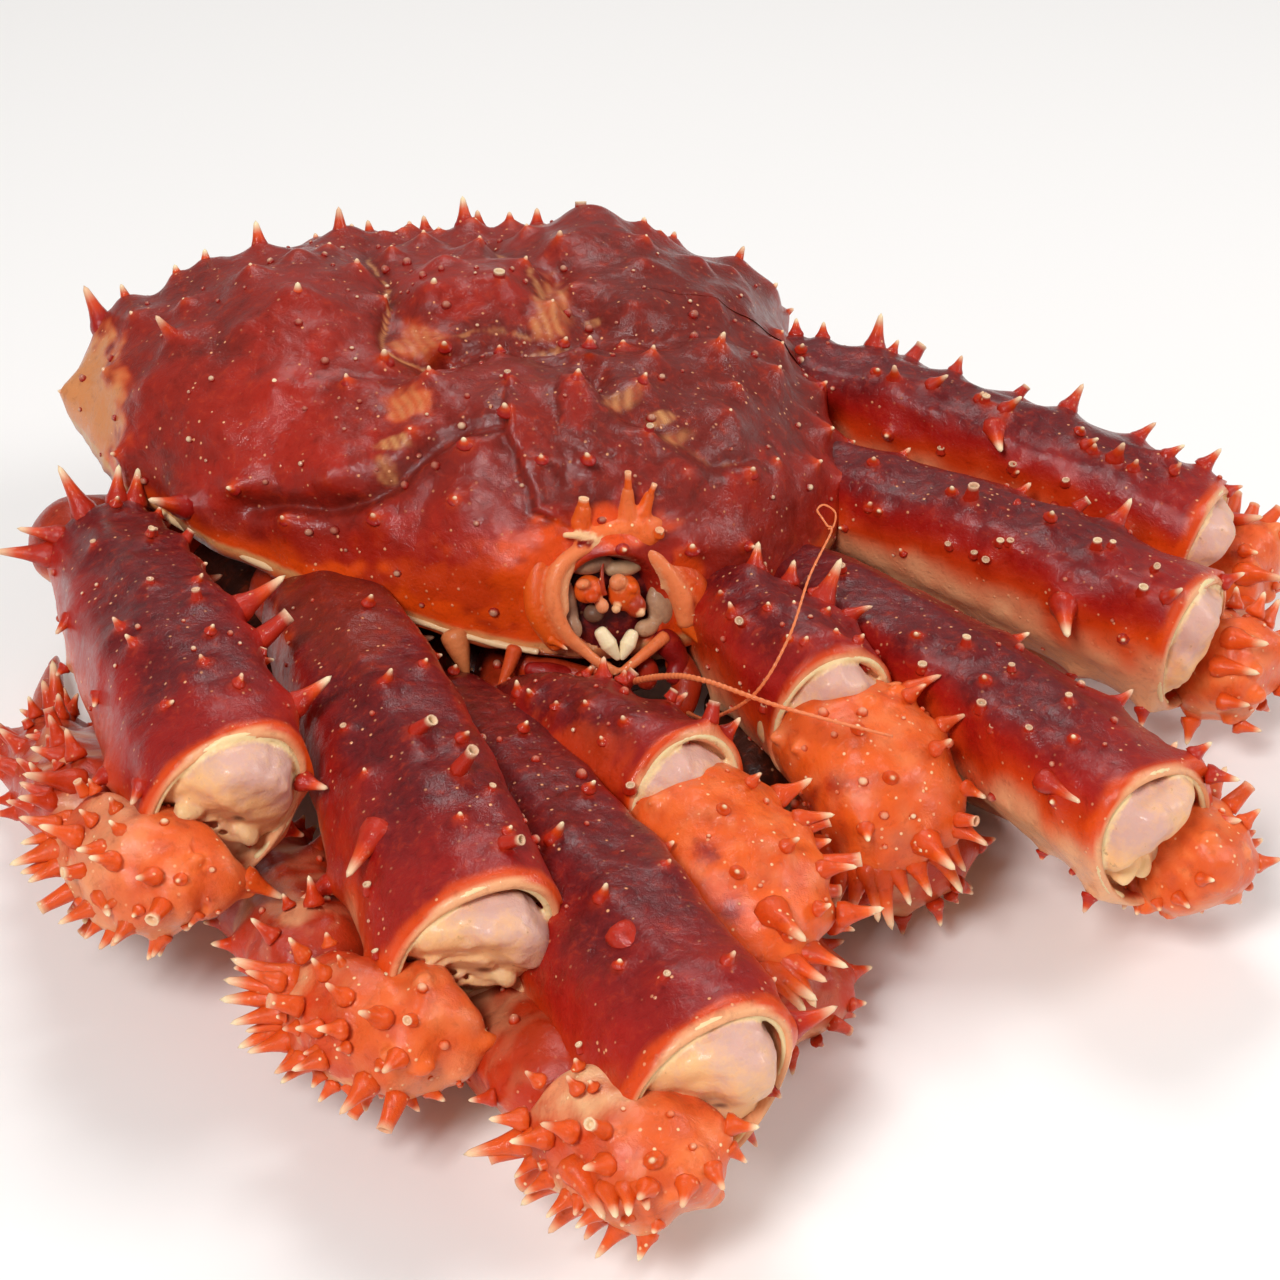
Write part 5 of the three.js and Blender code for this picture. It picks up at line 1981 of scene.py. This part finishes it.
LIMB_PATCHES: dict[str, tuple[Patch, ...]] = {
    "right_claw_wrist": (
        Patch((707, 852), (15, 14), Coat.DARK, 0.95), Patch((730, 912), (15, 14), Coat.DARK, 0.95),
        Patch((752, 968), (14, 13), Coat.DARK, 0.9), Patch((762, 880), (9, 8), Coat.DARK, 0.5),
    ),
    "right_claw_arm": (Patch((560, 775), (75, 60), Coat.ORANGE, 0.4),),
    # Painted shade: the DARK patch at (330, 612) darkens the hip end of this upper, where it meets the body.
    "right_leg_2_upper": (Patch((330, 612), (88, 66), Coat.DARK, 1.0), Patch((330, 612), (80, 60), Coat.ORANGE, 0.14),
                          Patch((268, 668), (24, 70), Coat.ORANGE, 0.5)),
    "left_claw_wrist": (Patch((836, 785), (16, 11), Coat.DARK, 0.7), Patch((905, 840), (14, 12), Coat.DARK, 0.5)),
}  # fmt: skip


@dataclass(frozen=True)
class LimbFinishes:
    """What limbs are made of: red shell, the orange shell of their joints, and membrane."""

    shell: bpy.types.Material
    joint: bpy.types.Material
    skin: bpy.types.Material

    def of(self, part: str) -> tuple[bpy.types.Material, str]:
        """Picks what one kind of segment is made of.

        Args:
            part: the kind of segment.

        Returns:
            Its material and the record's material slot.
        """
        if part == "membrane":
            return self.skin, "membrane"
        if part in ("elbow", "wrist", "toe", "finger"):
            return self.joint, "joint"
        return self.shell, "leg"


TOE_STYLE = Style(Pattern.SMOOTH, (), Carving(0.3, 0.15, step=1.0, studs=0))
HIP_STYLE = Style(Pattern.SMOOTH, (), Carving(0.7, 0.2, step=1.6, studs=12))
MEMBRANE_STYLE = Style(Pattern.BARE, (), Carving(2.4, 0.8, triangular=0.05, step=0.8, studs=0))
LEG_STYLES = {
    "upper": Style(Pattern.RIMMED, UPPER_SPINES),
    "elbow": Style(Pattern.JOINT, ELBOW_SPINES, Carving(1.5, 0.7, 0, 0.06, studs=30), horn_orange=0.6),
    "shin": Style(Pattern.SHIN, SHIN_SPINES, Carving(0.9, 0.3, 1.0, 0.06, studs=25), turn=-1, horn_orange=0.45),
    "toe": TOE_STYLE,
    "hip": HIP_STYLE,
    "membrane": MEMBRANE_STYLE,
}
CLAW_STYLES = {
    "arm": Style(Pattern.RIMMED, ARM_SPINES, Carving(studs=30)),
    "wrist": Style(Pattern.WRIST, WRIST_SPINES, Carving(0.9, 0.35, 0, 0.04, studs=45), horn_orange=0.45),
    "hand": Style(Pattern.SHIN, HAND_SPINES, horn_orange=0.45),
    "finger": TOE_STYLE,
    "hip": HIP_STYLE,
    "membrane": MEMBRANE_STYLE,
}
FIXED_FINGER_CARVING = Carving(0.3, 0.15, studs=0)
WET_BUMPS = 9


@dataclass
class Member:
    """A leg or a claw arm: its segments, and how each kind of them is dressed, in the order of building."""

    name: str = field(init=False)
    seed: int = field(init=False)
    side: float = field(init=False)
    segments: dict[str, Limb] = field(init=False)
    styles: dict[str, Style] = field(init=False)

    def build(self, finishes: LimbFinishes, room: Callable[[np.ndarray, Limb], bool]) -> None:
        """Shapes and dresses each segment.

        Args:
            finishes: what the segments are made of.
            room: says whether a spine's tip has room beside the limbs other than its own.
        """
        for number, (part, style) in enumerate(self.styles.items()):
            title = f"{self.name}_{part}"
            limb = self.segments[part]
            style = replace(
                style, turn=style.turn * self.side, seed=self.seed + number, seen=SEEN_SPINES.get(title, ()),
                patches=LIMB_PATCHES.get(title, ()),
            )  # fmt: skip
            body, *horns = shaped_limb(limb, style, lambda tip, own=limb: room(tip, own))
            skin = None
            if part == "hand":
                fixed = replace(style, rows=(), carving=FIXED_FINGER_CARVING)
                horns += shaped_limb(self.segments["fixed"], fixed)
            if part == "membrane":
                high = (body.places - limb.centre(np.array(0.0))) @ limb.up / limb.half[0]
                body.coat(pale=rise(0.75, 0.1, high + 0.2 * cloud(body.places, 6, self.seed)))
                upper = next(iter(self.segments.values()))
                skin = knee_skin(upper, body, self.name, style.seed)
            if part in ("elbow", "wrist"):
                skin = fused([body, *wet_bumps(body, WET_BUMPS, self.seed)], f"{title}_skin", 0.7, 3)
            blanks = horns if skin else [body, *horns]
            finish, slot = finishes.of(part)
            add_piece(blanks, f"{title}_shell", finish, slot, title, skin=skin)


@dataclass
class WalkingLeg(Member):
    """One walking leg, folded back under itself at its knee."""

    plan: LegPlan
    number: int
    upper_half: tuple[float, float] = (23.5, 17.5)
    elbow_half: tuple[float, float] = (12.8, 12.0)
    shin_half: tuple[float, float] = (14.0, 12.0)
    toe_half: tuple[float, float] = (7.5, 6.5)
    hip_half: tuple[float, float] = (15.0, 13.5)
    upper_lean: float = 34.0
    upper_arch: float = 5.0
    shin_length: float = 88.0
    shin_end_height: float = 7.0
    toe_length: float = 48.0
    toe_end_height: float = 5.0
    toe_turn_in: float = 14.0

    def __post_init__(self) -> None:
        """Lays out the leg's segments."""
        plan = self.plan
        start, end = np.array(plan.root, float), np.array(plan.knee, float)
        self.name, self.seed, self.styles = plan.name, 10 * self.number, LEG_STYLES
        self.side = math.copysign(1, plan.root[0])
        along = unit((end - start) * (1, 1, 0))
        outward = np.array((-along[1], along[0], 0)) * self.side
        lean = math.radians(self.upper_lean)
        up = SKY * math.cos(lean) - outward * math.sin(lean)

        def spot(place: np.ndarray, forward: float, aside: float, height: float) -> np.ndarray:
            """Finds a place beside another one.

            Args:
                place: the other place.
                forward: how far along the leg.
                aside: how far outward.
                height: its height over the ground.

            Returns:
                The place.
            """
            found = place + along * forward + outward * aside
            found[2] = height
            return found

        floor = end - up * 0.5 * self.upper_half[0]
        shin_start = spot(end, -plan.back, plan.fold, end[2] - plan.drop)
        shin_end = spot(shin_start, -self.shin_length, 0, self.shin_end_height)
        toe_end = spot(shin_end, -self.toe_length, -self.toe_turn_in, self.toe_end_height)
        elbow_middle = spot(floor, plan.bulge - 4, plan.fold * 0.55, end[2] - plan.drop + 3)
        hip_middle = spot(start, -0.8 * plan.bow, plan.bow, start[2])
        upper = Limb(bowed(start, end, SKY * self.upper_arch), up, self.upper_half, UPPER_PROFILE)
        self.segments = {
            "upper": upper,
            "membrane": knee_membrane(upper),
            "elbow": Limb(
                (spot(floor, 4, 0, floor[2]), elbow_middle, shin_start), outward, self.elbow_half, ELBOW_PROFILE
            ),
            "shin": Limb(
                bowed(spot(shin_start, -4, 0, shin_start[2]), shin_end, SKY * -2), up, self.shin_half, SHIN_PROFILE
            ),
            "toe": Limb(
                bowed(spot(shin_end, -1, 0, self.shin_end_height), toe_end, SKY * 2), SKY, self.toe_half, TOE_PROFILE
            ),
            "hip": Limb(
                (np.array(plan.hip, float), hip_middle, spot(start, -2, 0, start[2])), SKY, self.hip_half, HIP_PROFILE
            ),
        }


@dataclass
class ClawArm(Member):
    """One claw arm, bent down at its wrist so that the hand points back under it."""

    plan: ClawPlan
    number: int
    arm_half: tuple[float, float] = (18.5, 17.0)
    wrist_half: tuple[float, float] = (17.0, 15.5)
    hand_half: tuple[float, float] = (17.5, 13.0)
    finger_half: tuple[float, float] = (9.5, 5.5)
    hip_half: tuple[float, float] = (13.0, 12.5)

    def __post_init__(self) -> None:
        """Lays out the arm's segments."""
        plan = self.plan
        self.name, self.seed, self.side, self.styles = plan.name, 100 + 10 * self.number, 1, CLAW_STYLES
        shoulder, wrist = np.array(plan.root, float), np.array(plan.wrist, float)
        hand, elbow = np.array(plan.hand, float), np.array(plan.elbow, float)
        arm = Limb(bowed(shoulder, wrist, SKY * 4), SKY, self.arm_half, UPPER_PROFILE)
        self.segments = {
            "arm": arm,
            "membrane": knee_membrane(arm),
            "wrist": Limb(tuple(elbow), LEFT, self.wrist_half, ELBOW_PROFILE),
            "hand": Limb(tuple(hand), LEFT, self.hand_half, HAND_PROFILE),
            "fixed": self.finger(hand[2], np.array(plan.toe, float), -5, 0),
            "finger": self.finger(hand[2], np.array(plan.toe, float), 6, 4),
            "hip": Limb(
                bowed(np.array(plan.hip, float), shoulder + (0, 2, 0), SKY * 2), SKY, self.hip_half, HIP_PROFILE
            ),
        }

    def finger(self, hand_end: np.ndarray, toe: np.ndarray, lift: float, short_by: float) -> Limb:
        """Lays out one finger of the claw.

        Args:
            hand_end: the end of the hand.
            toe: where the tip of the claw is.
            lift: how far over the middle of the hand the finger starts.
            short_by: how much shorter than the claw it is.

        Returns:
            The finger.
        """
        start = hand_end + (0, -3, lift)
        end = toe + (0, -short_by, lift * 0.4)
        return Limb(bowed(start, end, SKY * lift * 0.6), LEFT, self.finger_half, TOE_PROFILE)


@dataclass
class Limbs:
    """All legs and claw arms, which keep their spines out of each other."""

    legs: list[WalkingLeg]
    claws: list[ClawArm]
    lowest_tip: float = 0.4
    cores: list[tuple[Limb, np.ndarray, np.ndarray]] = field(init=False)

    def __post_init__(self) -> None:
        """Notes where each segment's middle runs and how wide it is there."""
        steps = np.linspace(0, 1, 9)
        self.cores = [
            (limb, limb.centre(steps), limb.half[0] * np.array([limb.width(step) for step in steps]) + 0.5)
            for member in (*self.legs, *self.claws)
            for part, limb in member.segments.items()
            if part not in ("membrane", "hip")
        ]

    def has_room(self, tip: np.ndarray, own: Limb) -> bool:
        """Says whether a spine's tip stays out of every limb but its own, and off the ground.

        Args:
            tip: where the tip is.
            own: the limb that the spine stands on.

        Returns:
            True if it does.
        """
        if tip[2] < self.lowest_tip:
            return False
        return not any(
            (np.linalg.norm(centres - tip, axis=1) < widths).any()
            for limb, centres, widths in self.cores
            if limb is not own
        )


# ---------------------------------------------------------------- body, face and feelers


def oval(centre: Place, half: Place, columns: int, rows: int, lumps: float, seed: int) -> Blank:
    """Shapes a lumpy egg.

    Args:
        centre: its middle.
        half: its half sizes.
        columns: faces round it.
        rows: faces from pole to pole.
        lumps: height of its lumps.
        seed: picks them.

    Returns:
        The egg.
    """
    blank = Blank(columns, rows)
    places = blank.places * np.array(half) + np.array(centre)
    blank.places = places + (lumps * cloud(places, 7, seed))[:, None] * blank.places
    return blank


@dataclass
class Underbody:
    """The thorax between the legs, and the abdomen that is folded flat under it.

    Rolls of flesh, painted fully dark as shade, fill the gaps beside the thorax: each mark of one is where it
    shows, its height over the ground and its radius.
    """

    finish: bpy.types.Material
    thorax_centre: Place = (0, 8, 29)
    thorax_half: Place = (66, 70, 23)
    abdomen_half: tuple[float, float] = (36.0, 5.0)
    flesh: tuple[tuple[Mark, ...], ...] = (
        ((205, 555, 34, 9), (250, 600, 31, 12), (280, 650, 28, 12), (310, 730, 22, 8)),
        ((380, 650, 30, 9), (430, 690, 27, 12), (480, 720, 24, 10)),
        ((728, 690, 26, 7), (748, 745, 22, 9), (765, 800, 16, 7)),
    )

    def build(self) -> None:
        """Builds both pieces."""
        thorax = oval(self.thorax_centre, self.thorax_half, 120, 90, 1.2, 60)
        # Painted shade: above its lowest band, which stays pale, the thorax is painted dark where it lies under the
        # carapace.
        high = rise(10, 16, thorax.places[:, 2])
        thorax.coat(pale=0.7 * (1 - high), dark=high)
        # Painted shade: each roll of flesh in the gaps is painted fully dark.
        flesh = []
        for marks in self.flesh:
            route = [VIEW.on_plane(mark[:2], np.array((0, 0, mark[2])), SKY) for mark in marks]
            flesh.append(tube(route, tuple(mark[3] for mark in marks), 26, 40, dark=1.0))
        add_piece([thorax, *flesh], "thorax_shell", self.finish, "belly", "thorax")
        path = tuple(np.array(place, float) for place in ((0, 92, 44), (0, 88, -3), (0, -6, 2)))
        abdomen = Limb(path, LEFT, self.abdomen_half, ABDOMEN_PROFILE)
        blanks = shaped_limb(abdomen, Style(Pattern.SMOOTH, carving=Carving(0.5, 0.2, step=1.3, studs=20), seed=61))
        add_piece(blanks, "abdomen_flap", self.finish, "belly", "abdomen")


@dataclass
class Face:
    """The mouth inside its ring of shell, the jaws and teeth, and the feelers.

    Its parts stand on an upright face that leans back a little, each where it shows from the camera.
    """

    shell: bpy.types.Material
    joint: bpy.types.Material
    gum: bpy.types.Material
    centre: Place = (0.0, -82.0, 62.0)
    lean_back: float = 0.35
    pixel_mm: float = 0.265
    ring_height: float = 0.14
    ring_spacing: float = 1.7
    whip_taper: float = 0.62

    def ahead(self) -> np.ndarray:
        """The way the face looks."""
        return unit(np.array((0.0, -1.0, self.lean_back)))

    def spot(self, across: float, down: float, forward: float) -> np.ndarray:
        """The place that shows at a pixel, so many millimetres in front of the face."""
        return VIEW.on_plane((across, down), np.array(self.centre) + self.ahead() * forward, self.ahead())

    def cord(self, *marks: Mark, **paint: float) -> Blank:
        """A tube through places of the face, each with its pixel, its height over the face and its radius."""
        route = [self.spot(across, down, forward) for across, down, forward, _ in marks]
        return tube(route, tuple(mark[3] for mark in marks), 16, 40, **paint)

    def lump(self, pixel: Pixel, half: Pixel, deep: float, forward: float, seed: int, **paint: float) -> Blank:
        """A lumpy egg on the face.

        Args:
            pixel: where its middle shows.
            half: its half width and height in pixels.
            deep: its half depth in millimetres.
            forward: how far in front of the face its middle is.
            seed: makes its lumps its own.
            paint: how strong each channel of its paint is.

        Returns:
            The lump.
        """
        size = (half[0] * self.pixel_mm, deep, half[1] * self.pixel_mm)
        shape = oval((0, 0, 0), size, 30, 24, 0.22 * min(size), seed)
        axes = np.array((LEFT, self.ahead(), np.cross(LEFT, -self.ahead())))
        shape.places = self.spot(*pixel, forward) + shape.places @ axes
        return shape.coat(**paint)

    def build_shell(self) -> None:
        """Builds the ring of shell round the mouth, the plate over it with its horns, and the cheeks."""
        parts = [
            self.cord(
                (590, 655, 0, 1.5), (566, 634, 1, 1.9), (553, 602, 1.5, 2.2), (558, 570, 1.5, 2.1),
                (582, 549, 1.5, 1.9), (612, 543, 1, 1.8), (640, 548, 1, 1.9), (664, 570, 0.5, 2.5),
                (681, 598, 0, 3.0), (688, 630, 0, 2.2), orange=0.95, pale=0.25,
            ),
            self.cord((562, 648, -2, 2.6), (538, 610, -2, 3.2), (540, 565, -3, 3.2), (556, 542, -4, 3), orange=0.8),
            self.cord((650, 546, -2, 3), (684, 578, -2.5, 4.0), (704, 612, -3, 4.2), (702, 640, -3, 3), orange=0.5),
            self.lump((616, 531), (44, 13), 3.6, 0, 90, orange=0.95, pale=0.12),
            self.lump((640, 536), (26, 12), 3.2, 0.6, 91, orange=0.9, pale=0.05),
            self.cord((627, 526, 0, 3.6), (627, 508, 1, 2.0), (628, 486, 2.6, 1.2), orange=0.9, pale=0.1),
            self.cord((638, 524, 0, 3.0), (645, 507, 1, 1.8), (651, 491, 2.2, 1.1), orange=0.85),
            self.cord((578, 531, 0, 3.0), (582, 517, 1, 2.3), (584, 503, 2, 1.7), orange=0.75),
            self.cord((562, 535, 2.2, 0.8), (584, 537, 2.8, 1.0), (606, 546, 2.6, 0.8), orange=0.5, pale=0.95),
            self.cord((578, 542, 3.0, 0.35), (592, 542, 3.3, 0.4), dark=1.0),
            self.cord((637, 548, 2.0, 0.5), (637, 558, 2.4, 0.6), dark=1.0),
            self.cord((572, 640, 0.6, 1.3), (598, 662, 1, 1.4), (619, 673, 1, 1.1), orange=0.9, pale=0.3),
            self.cord((668, 634, 0, 1.8), (642, 656, 1, 1.5), (621, 673, 1, 1.1), orange=0.9, pale=0.2),
            self.cord((640, 545, -0.5, 1.6), (655, 566, -0.4, 1.8), (664, 590, -0.5, 1.2), orange=0.6, pale=0.75),
            self.cord((572, 560, 0.6, 1.6), (562, 585, 0.6, 1.8), (564, 615, 0.4, 1.4), orange=0.7, pale=0.6),
        ]
        horns = (
            ((628, 500, 1.5), (628, 467, 4.2), 1.15, SpineTip.BROKEN),
            ((647, 502, 1.4), (656, 481, 3.4), 1.0, SpineTip.BROKEN),
            ((583, 511, 1.3), (584, 496, 2.6), 1.6, SpineTip.BROKEN),
            ((658, 534, 2.6), (660, 529, 4.0), 1.4, SpineTip.BROKEN),
            ((690, 626, -0.5), (722, 667, 3.0), 1.9, SpineTip.WHOLE),
            ((690, 617, 0.5), (693, 612, 2.2), 1.1, SpineTip.BROKEN),
            ((553, 640, 0.0), (568, 650, 2.0), 1.2, SpineTip.WHOLE),
        )
        blanks = []
        for number, (start, end, radius, tip) in enumerate(horns):
            foot, way = self.spot(*start), self.spot(*end) - self.spot(*start)
            horn = Spine(foot, unit(way), float(np.linalg.norm(way)), radius, tip, pale=0.6 + 0.1 * (number % 3))
            blanks.append(horn.blank())
            blanks[-1].deepen(Coat.ORANGE, 0.85)
        add_piece(blanks, "face_shell", self.joint, "shell", skin=fused(parts, "face_skin", 0.5, 3))

    def build_mouth(self) -> None:
        """Builds the mouth's floor, painted dark as shade, its soft walls, the jaws, the teeth and the small feeding
        legs.
        """
        # Painted shade: the mouth's floor is painted fully dark.
        floor = self.lump((612, 604), (48, 46), 2.5, -6.0, 73, dark=1.0)
        add_piece([floor], "mouth_shade_floor", self.shell, "belly", "mouth")
        walls = [
            self.lump((590, 564), (22, 9), 2.6, -2.2, 110, pale=0.25),
            self.lump((625, 567), (20, 9), 2.6, -1.8, 112, pale=0.45, horn=0.15),
            self.lump((568, 606), (9, 26), 2.4, -2.6, 114, pale=0.15),
            self.lump((574, 628), (9, 12), 2.0, -1.2, 115, pale=0.5),
            self.lump((660, 604), (14, 21), 2.6, -2.0, 116, pale=0.6),
            self.lump((594, 613), (9, 8), 2.2, -1.6, 117, dark=0.55),
            self.lump((646, 628), (12, 9), 2.0, -1.2, 118, pale=0.9),
        ]
        add_piece([], "mouth_walls", self.gum, "membrane", skin=fused(walls, "mouth_wall_skin", 0.5, 2))
        jaws = {
            "right": (
                self.lump((588, 590), (15, 14), 3.0, -1.6, 74, orange=0.75, dark=0.2),
                self.lump((583, 584), (7, 5), 1.6, 1.4, 120, orange=0.8, pale=0.3),
                self.lump((592, 597), (6, 5), 1.6, 1.2, 121, orange=0.5),
                self.lump((602, 606), (6, 7), 1.8, 0.4, 122, orange=0.6, pale=0.45),
                self.cord((603, 560, -0.5, 0.5), (602, 578, 0.6, 0.6), (606, 596, 0.8, 0.5), orange=0.2, dark=0.9),
            ),
            "left": (
                self.lump((624, 592), (16, 17), 3.0, -1.4, 76, orange=0.65, dark=0.25),
                self.lump((636, 606), (9, 11), 2.2, 0.0, 123, orange=0.2, dark=0.75),
                self.lump((618, 582), (8, 7), 1.8, 1.2, 124, orange=0.85, pale=0.35),
                self.lump((632, 588), (6, 6), 1.6, 1.4, 125, orange=0.8),
                self.lump((616, 609), (4, 4), 1.3, 1.2, 126, orange=0.4, pale=0.9),
                self.lump((641, 613), (4, 4), 1.3, 1.6, 127, orange=0.4, pale=0.95),
            ),
        }
        for hand, parts in jaws.items():
            skin = fused(list(parts), f"{hand}_jaw_skin", 0.4, 2)
            add_piece([], f"{hand}_jaw_plate", self.joint, "joint", f"{hand}_jaw", skin=skin)
        teeth = {
            "right": ((598, 628, 0.4, 1.5), (608, 643, 1.2, 2.1), (619, 660, 1.4, 0.5)),
            "left": ((634, 630, 0.4, 1.4), (628, 644, 1.2, 2.0), (621, 660, 1.4, 0.5)),
        }
        for hand, marks in teeth.items():
            tooth = self.cord(*marks, horn=0.9, pale=1.0)
            add_piece([tooth], f"{hand}_tooth_horn", self.joint, "tooth", f"{hand}_tooth")
        palps = [
            self.cord((652, 632, -3, 3.0), (668, 644, -2, 3.4), (678, 662, -2, 2.6), (670, 684, -1, 2.0), dark=0.45),
            self.cord((640, 660, -3, 2.6), (648, 672, -3, 2.8), (644, 690, -3, 2.2), orange=0.2, dark=0.4),
            self.cord((524, 668, -8, 1.6), (545, 672, -6, 2.6), (575, 676, -5, 2.4), (594, 676, -4, 1.8), dark=0.3),
            self.lump((600, 668), (12, 7), 2.4, -2, 132, orange=0.5, pale=0.15),
        ]
        add_piece([], "mouth_palps", self.shell, "leg", skin=fused(palps, "palp_skin", 0.6, 2))

    def build_feelers(self) -> None:
        """Builds the feelers' glossy bases and their thin ringed whips."""
        bases = {
            "right": (((-24, -72, 47), (-15, -80, 47), (-6, -86, 46)), 3.4),
            "left": (((13, -82, 47), (18, -87, 42), (11, -91, 36)), 3.6),
        }
        whips = {
            "right": (((-5, -90, 47), (-2, -112, 62), (2, -127, 69), (13, -147, 71), (32, -164, 69)), 0.9),
            "left": (
                ((12, -95, 38), (7, -120, 53), (10, -138, 70), (18, -138, 83), (27, -129, 92), (34, -125, 100)), 0.55,
            ),
        }  # fmt: skip
        for number, (hand, (route, half)) in enumerate(bases.items()):
            limb = Limb(tuple(np.array(p, float) for p in route), SKY, (half, half), FEELER_BASE_PROFILE)
            style = Style(Pattern.SMOOTH, carving=Carving(0.35, 0.15, 0, 0.02, 0.7, 0), seed=80 + number)
            add_piece(shaped_limb(limb, style), f"{hand}_feeler_base_shell", self.shell, "leg", f"{hand}_feeler_base")
        loop = ((-4, -6), (-10, -15), (-14, -22), (-7, -27), (4, -19), (2, -5), (-4, -3))
        for hand, (route, half) in whips.items():
            places = [np.array(place, float) for place in route]
            if hand == "left":
                places += [places[-1] + VIEW.step_mm(places[-1], step) for step in loop]
            add_piece([self.whip(places, half)], f"{hand}_feeler_whip", self.joint, "feeler", f"{hand}_feeler")

    def whip(self, route: list[np.ndarray], half: float) -> Blank:
        """Shapes a thin ringed whip along a smooth route.

        Args:
            route: the places that it passes.
            half: its radius at the start.

        Returns:
            The whip.
        """
        blank = Blank(10, 260)
        share, around = blank.share(), blank.around()
        centre, forward, length = along_route(route, share)
        rings = 1 + self.ring_height * np.cos(share * length * 2 * math.pi / self.ring_spacing)
        reach = half * (1 - self.whip_taper * share) * rings * (np.abs(share - 0.5) < 0.4999)
        blank.places = swept(centre, forward, reach, around)
        return blank.coat(orange=0.75, pale=0.25)

    def build(self) -> None:
        """Builds every piece of the face."""
        self.build_shell()
        self.build_mouth()
        self.build_feelers()


# ---------------------------------------------------------------- studio


@dataclass(frozen=True)
class Studio:
    """The plain pale floor, the pale surroundings and the soft lights."""

    floor_colour: str = "#f4f2f0"
    floor_half_m: float = 2.5
    floor_roughness: float = 0.9
    world_colour: Colour = (1.0, 0.985, 0.97, 1.0)
    world_strength: float = 0.26
    aim: Place = (0, 0, 0.05)

    def build(self) -> None:
        """Adds the floor, the world and the lights."""
        shape = bmesh.new()
        bmesh.ops.create_grid(shape, x_segments=1, y_segments=1, size=self.floor_half_m)
        mesh = bpy.data.meshes.new("studio_floor")
        shape.to_mesh(mesh)
        shape.free()
        material = bpy.data.materials.new("matt_paper")
        material.use_nodes = True
        principled = material.node_tree.nodes["Principled BSDF"]
        principled.inputs["Base Color"].default_value = linear(self.floor_colour)
        principled.inputs["Roughness"].default_value = self.floor_roughness
        mesh.materials.append(material)
        link_object("studio_floor", mesh)
        world = bpy.data.worlds.new("pale_room")
        world.use_nodes = True
        background = world.node_tree.nodes["Background"]
        background.inputs["Color"].default_value = self.world_colour
        background.inputs["Strength"].default_value = self.world_strength
        bpy.context.scene.world = world
        bpy.context.scene.view_settings.view_transform = "Standard"
        self.softbox("softbox_behind", (0.15, 0.75, 1.35), 0.5, 7.0)
        self.softbox("softbox_front_left", (-0.9, -0.9, 1.3), 0.45, 22.0)
        self.softbox("softbox_right", (1.2, -0.5, 0.9), 0.5, 9.0)

    def softbox(self, name: str, place: Place, size: float, power: float) -> None:
        """Adds a square soft light that looks at the crab.

        Args:
            name: the light's name.
            place: where it hangs, in metres.
            size: its side, in metres.
            power: its power in watts.
        """
        data = bpy.data.lights.new(name, "AREA")
        data.shape = "SQUARE"
        data.size = size
        data.energy = power
        light = link_object(name, data)
        light.location = place
        light.rotation_euler = (Vector(self.aim) - Vector(place)).to_track_quat("-Z", "Y").to_euler()


# ---------------------------------------------------------------- the crab


def main() -> None:
    """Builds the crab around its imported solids, then the studio and the camera."""
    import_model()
    VIEW.build()
    Studio().build()
    shell = BoiledShell("boiled_leg_shell").material()
    roof = BoiledShell("boiled_roof_shell", red="#9c160f", dark="#540f13", pale="#d39a60").material()
    joint = BoiledShell(
        "boiled_joint_shell", red="#c02b14", dark="#8a1712", orange="#ec6216", speck="#ffd8a4", glow=0.12
    ).material()
    belly = BoiledShell("boiled_belly_shell", red="#b8431d", dark="#4a2216", pale="#e9b88a").material()
    skin = Membrane("joint_membrane").material()
    gum = Membrane("mouth_skin", clear="#8d6650", fatty="#b98c68", fleck="#4a2a1a", glow=0.1).material()
    Carapace(roof).build()
    Underbody(belly).build()
    limbs = Limbs(
        [WalkingLeg(plan, number) for number, plan in enumerate(LEG_PLANS)],
        [ClawArm(plan, number) for number, plan in enumerate(CLAW_PLANS)],
    )
    for member in (*limbs.legs, *limbs.claws):
        member.build(LimbFinishes(shell, joint, skin), limbs.has_room)
    Face(shell, joint, gum).build()


if __name__ == "__main__":
    logging.basicConfig(level=logging.INFO, format="%(message)s")
    main()
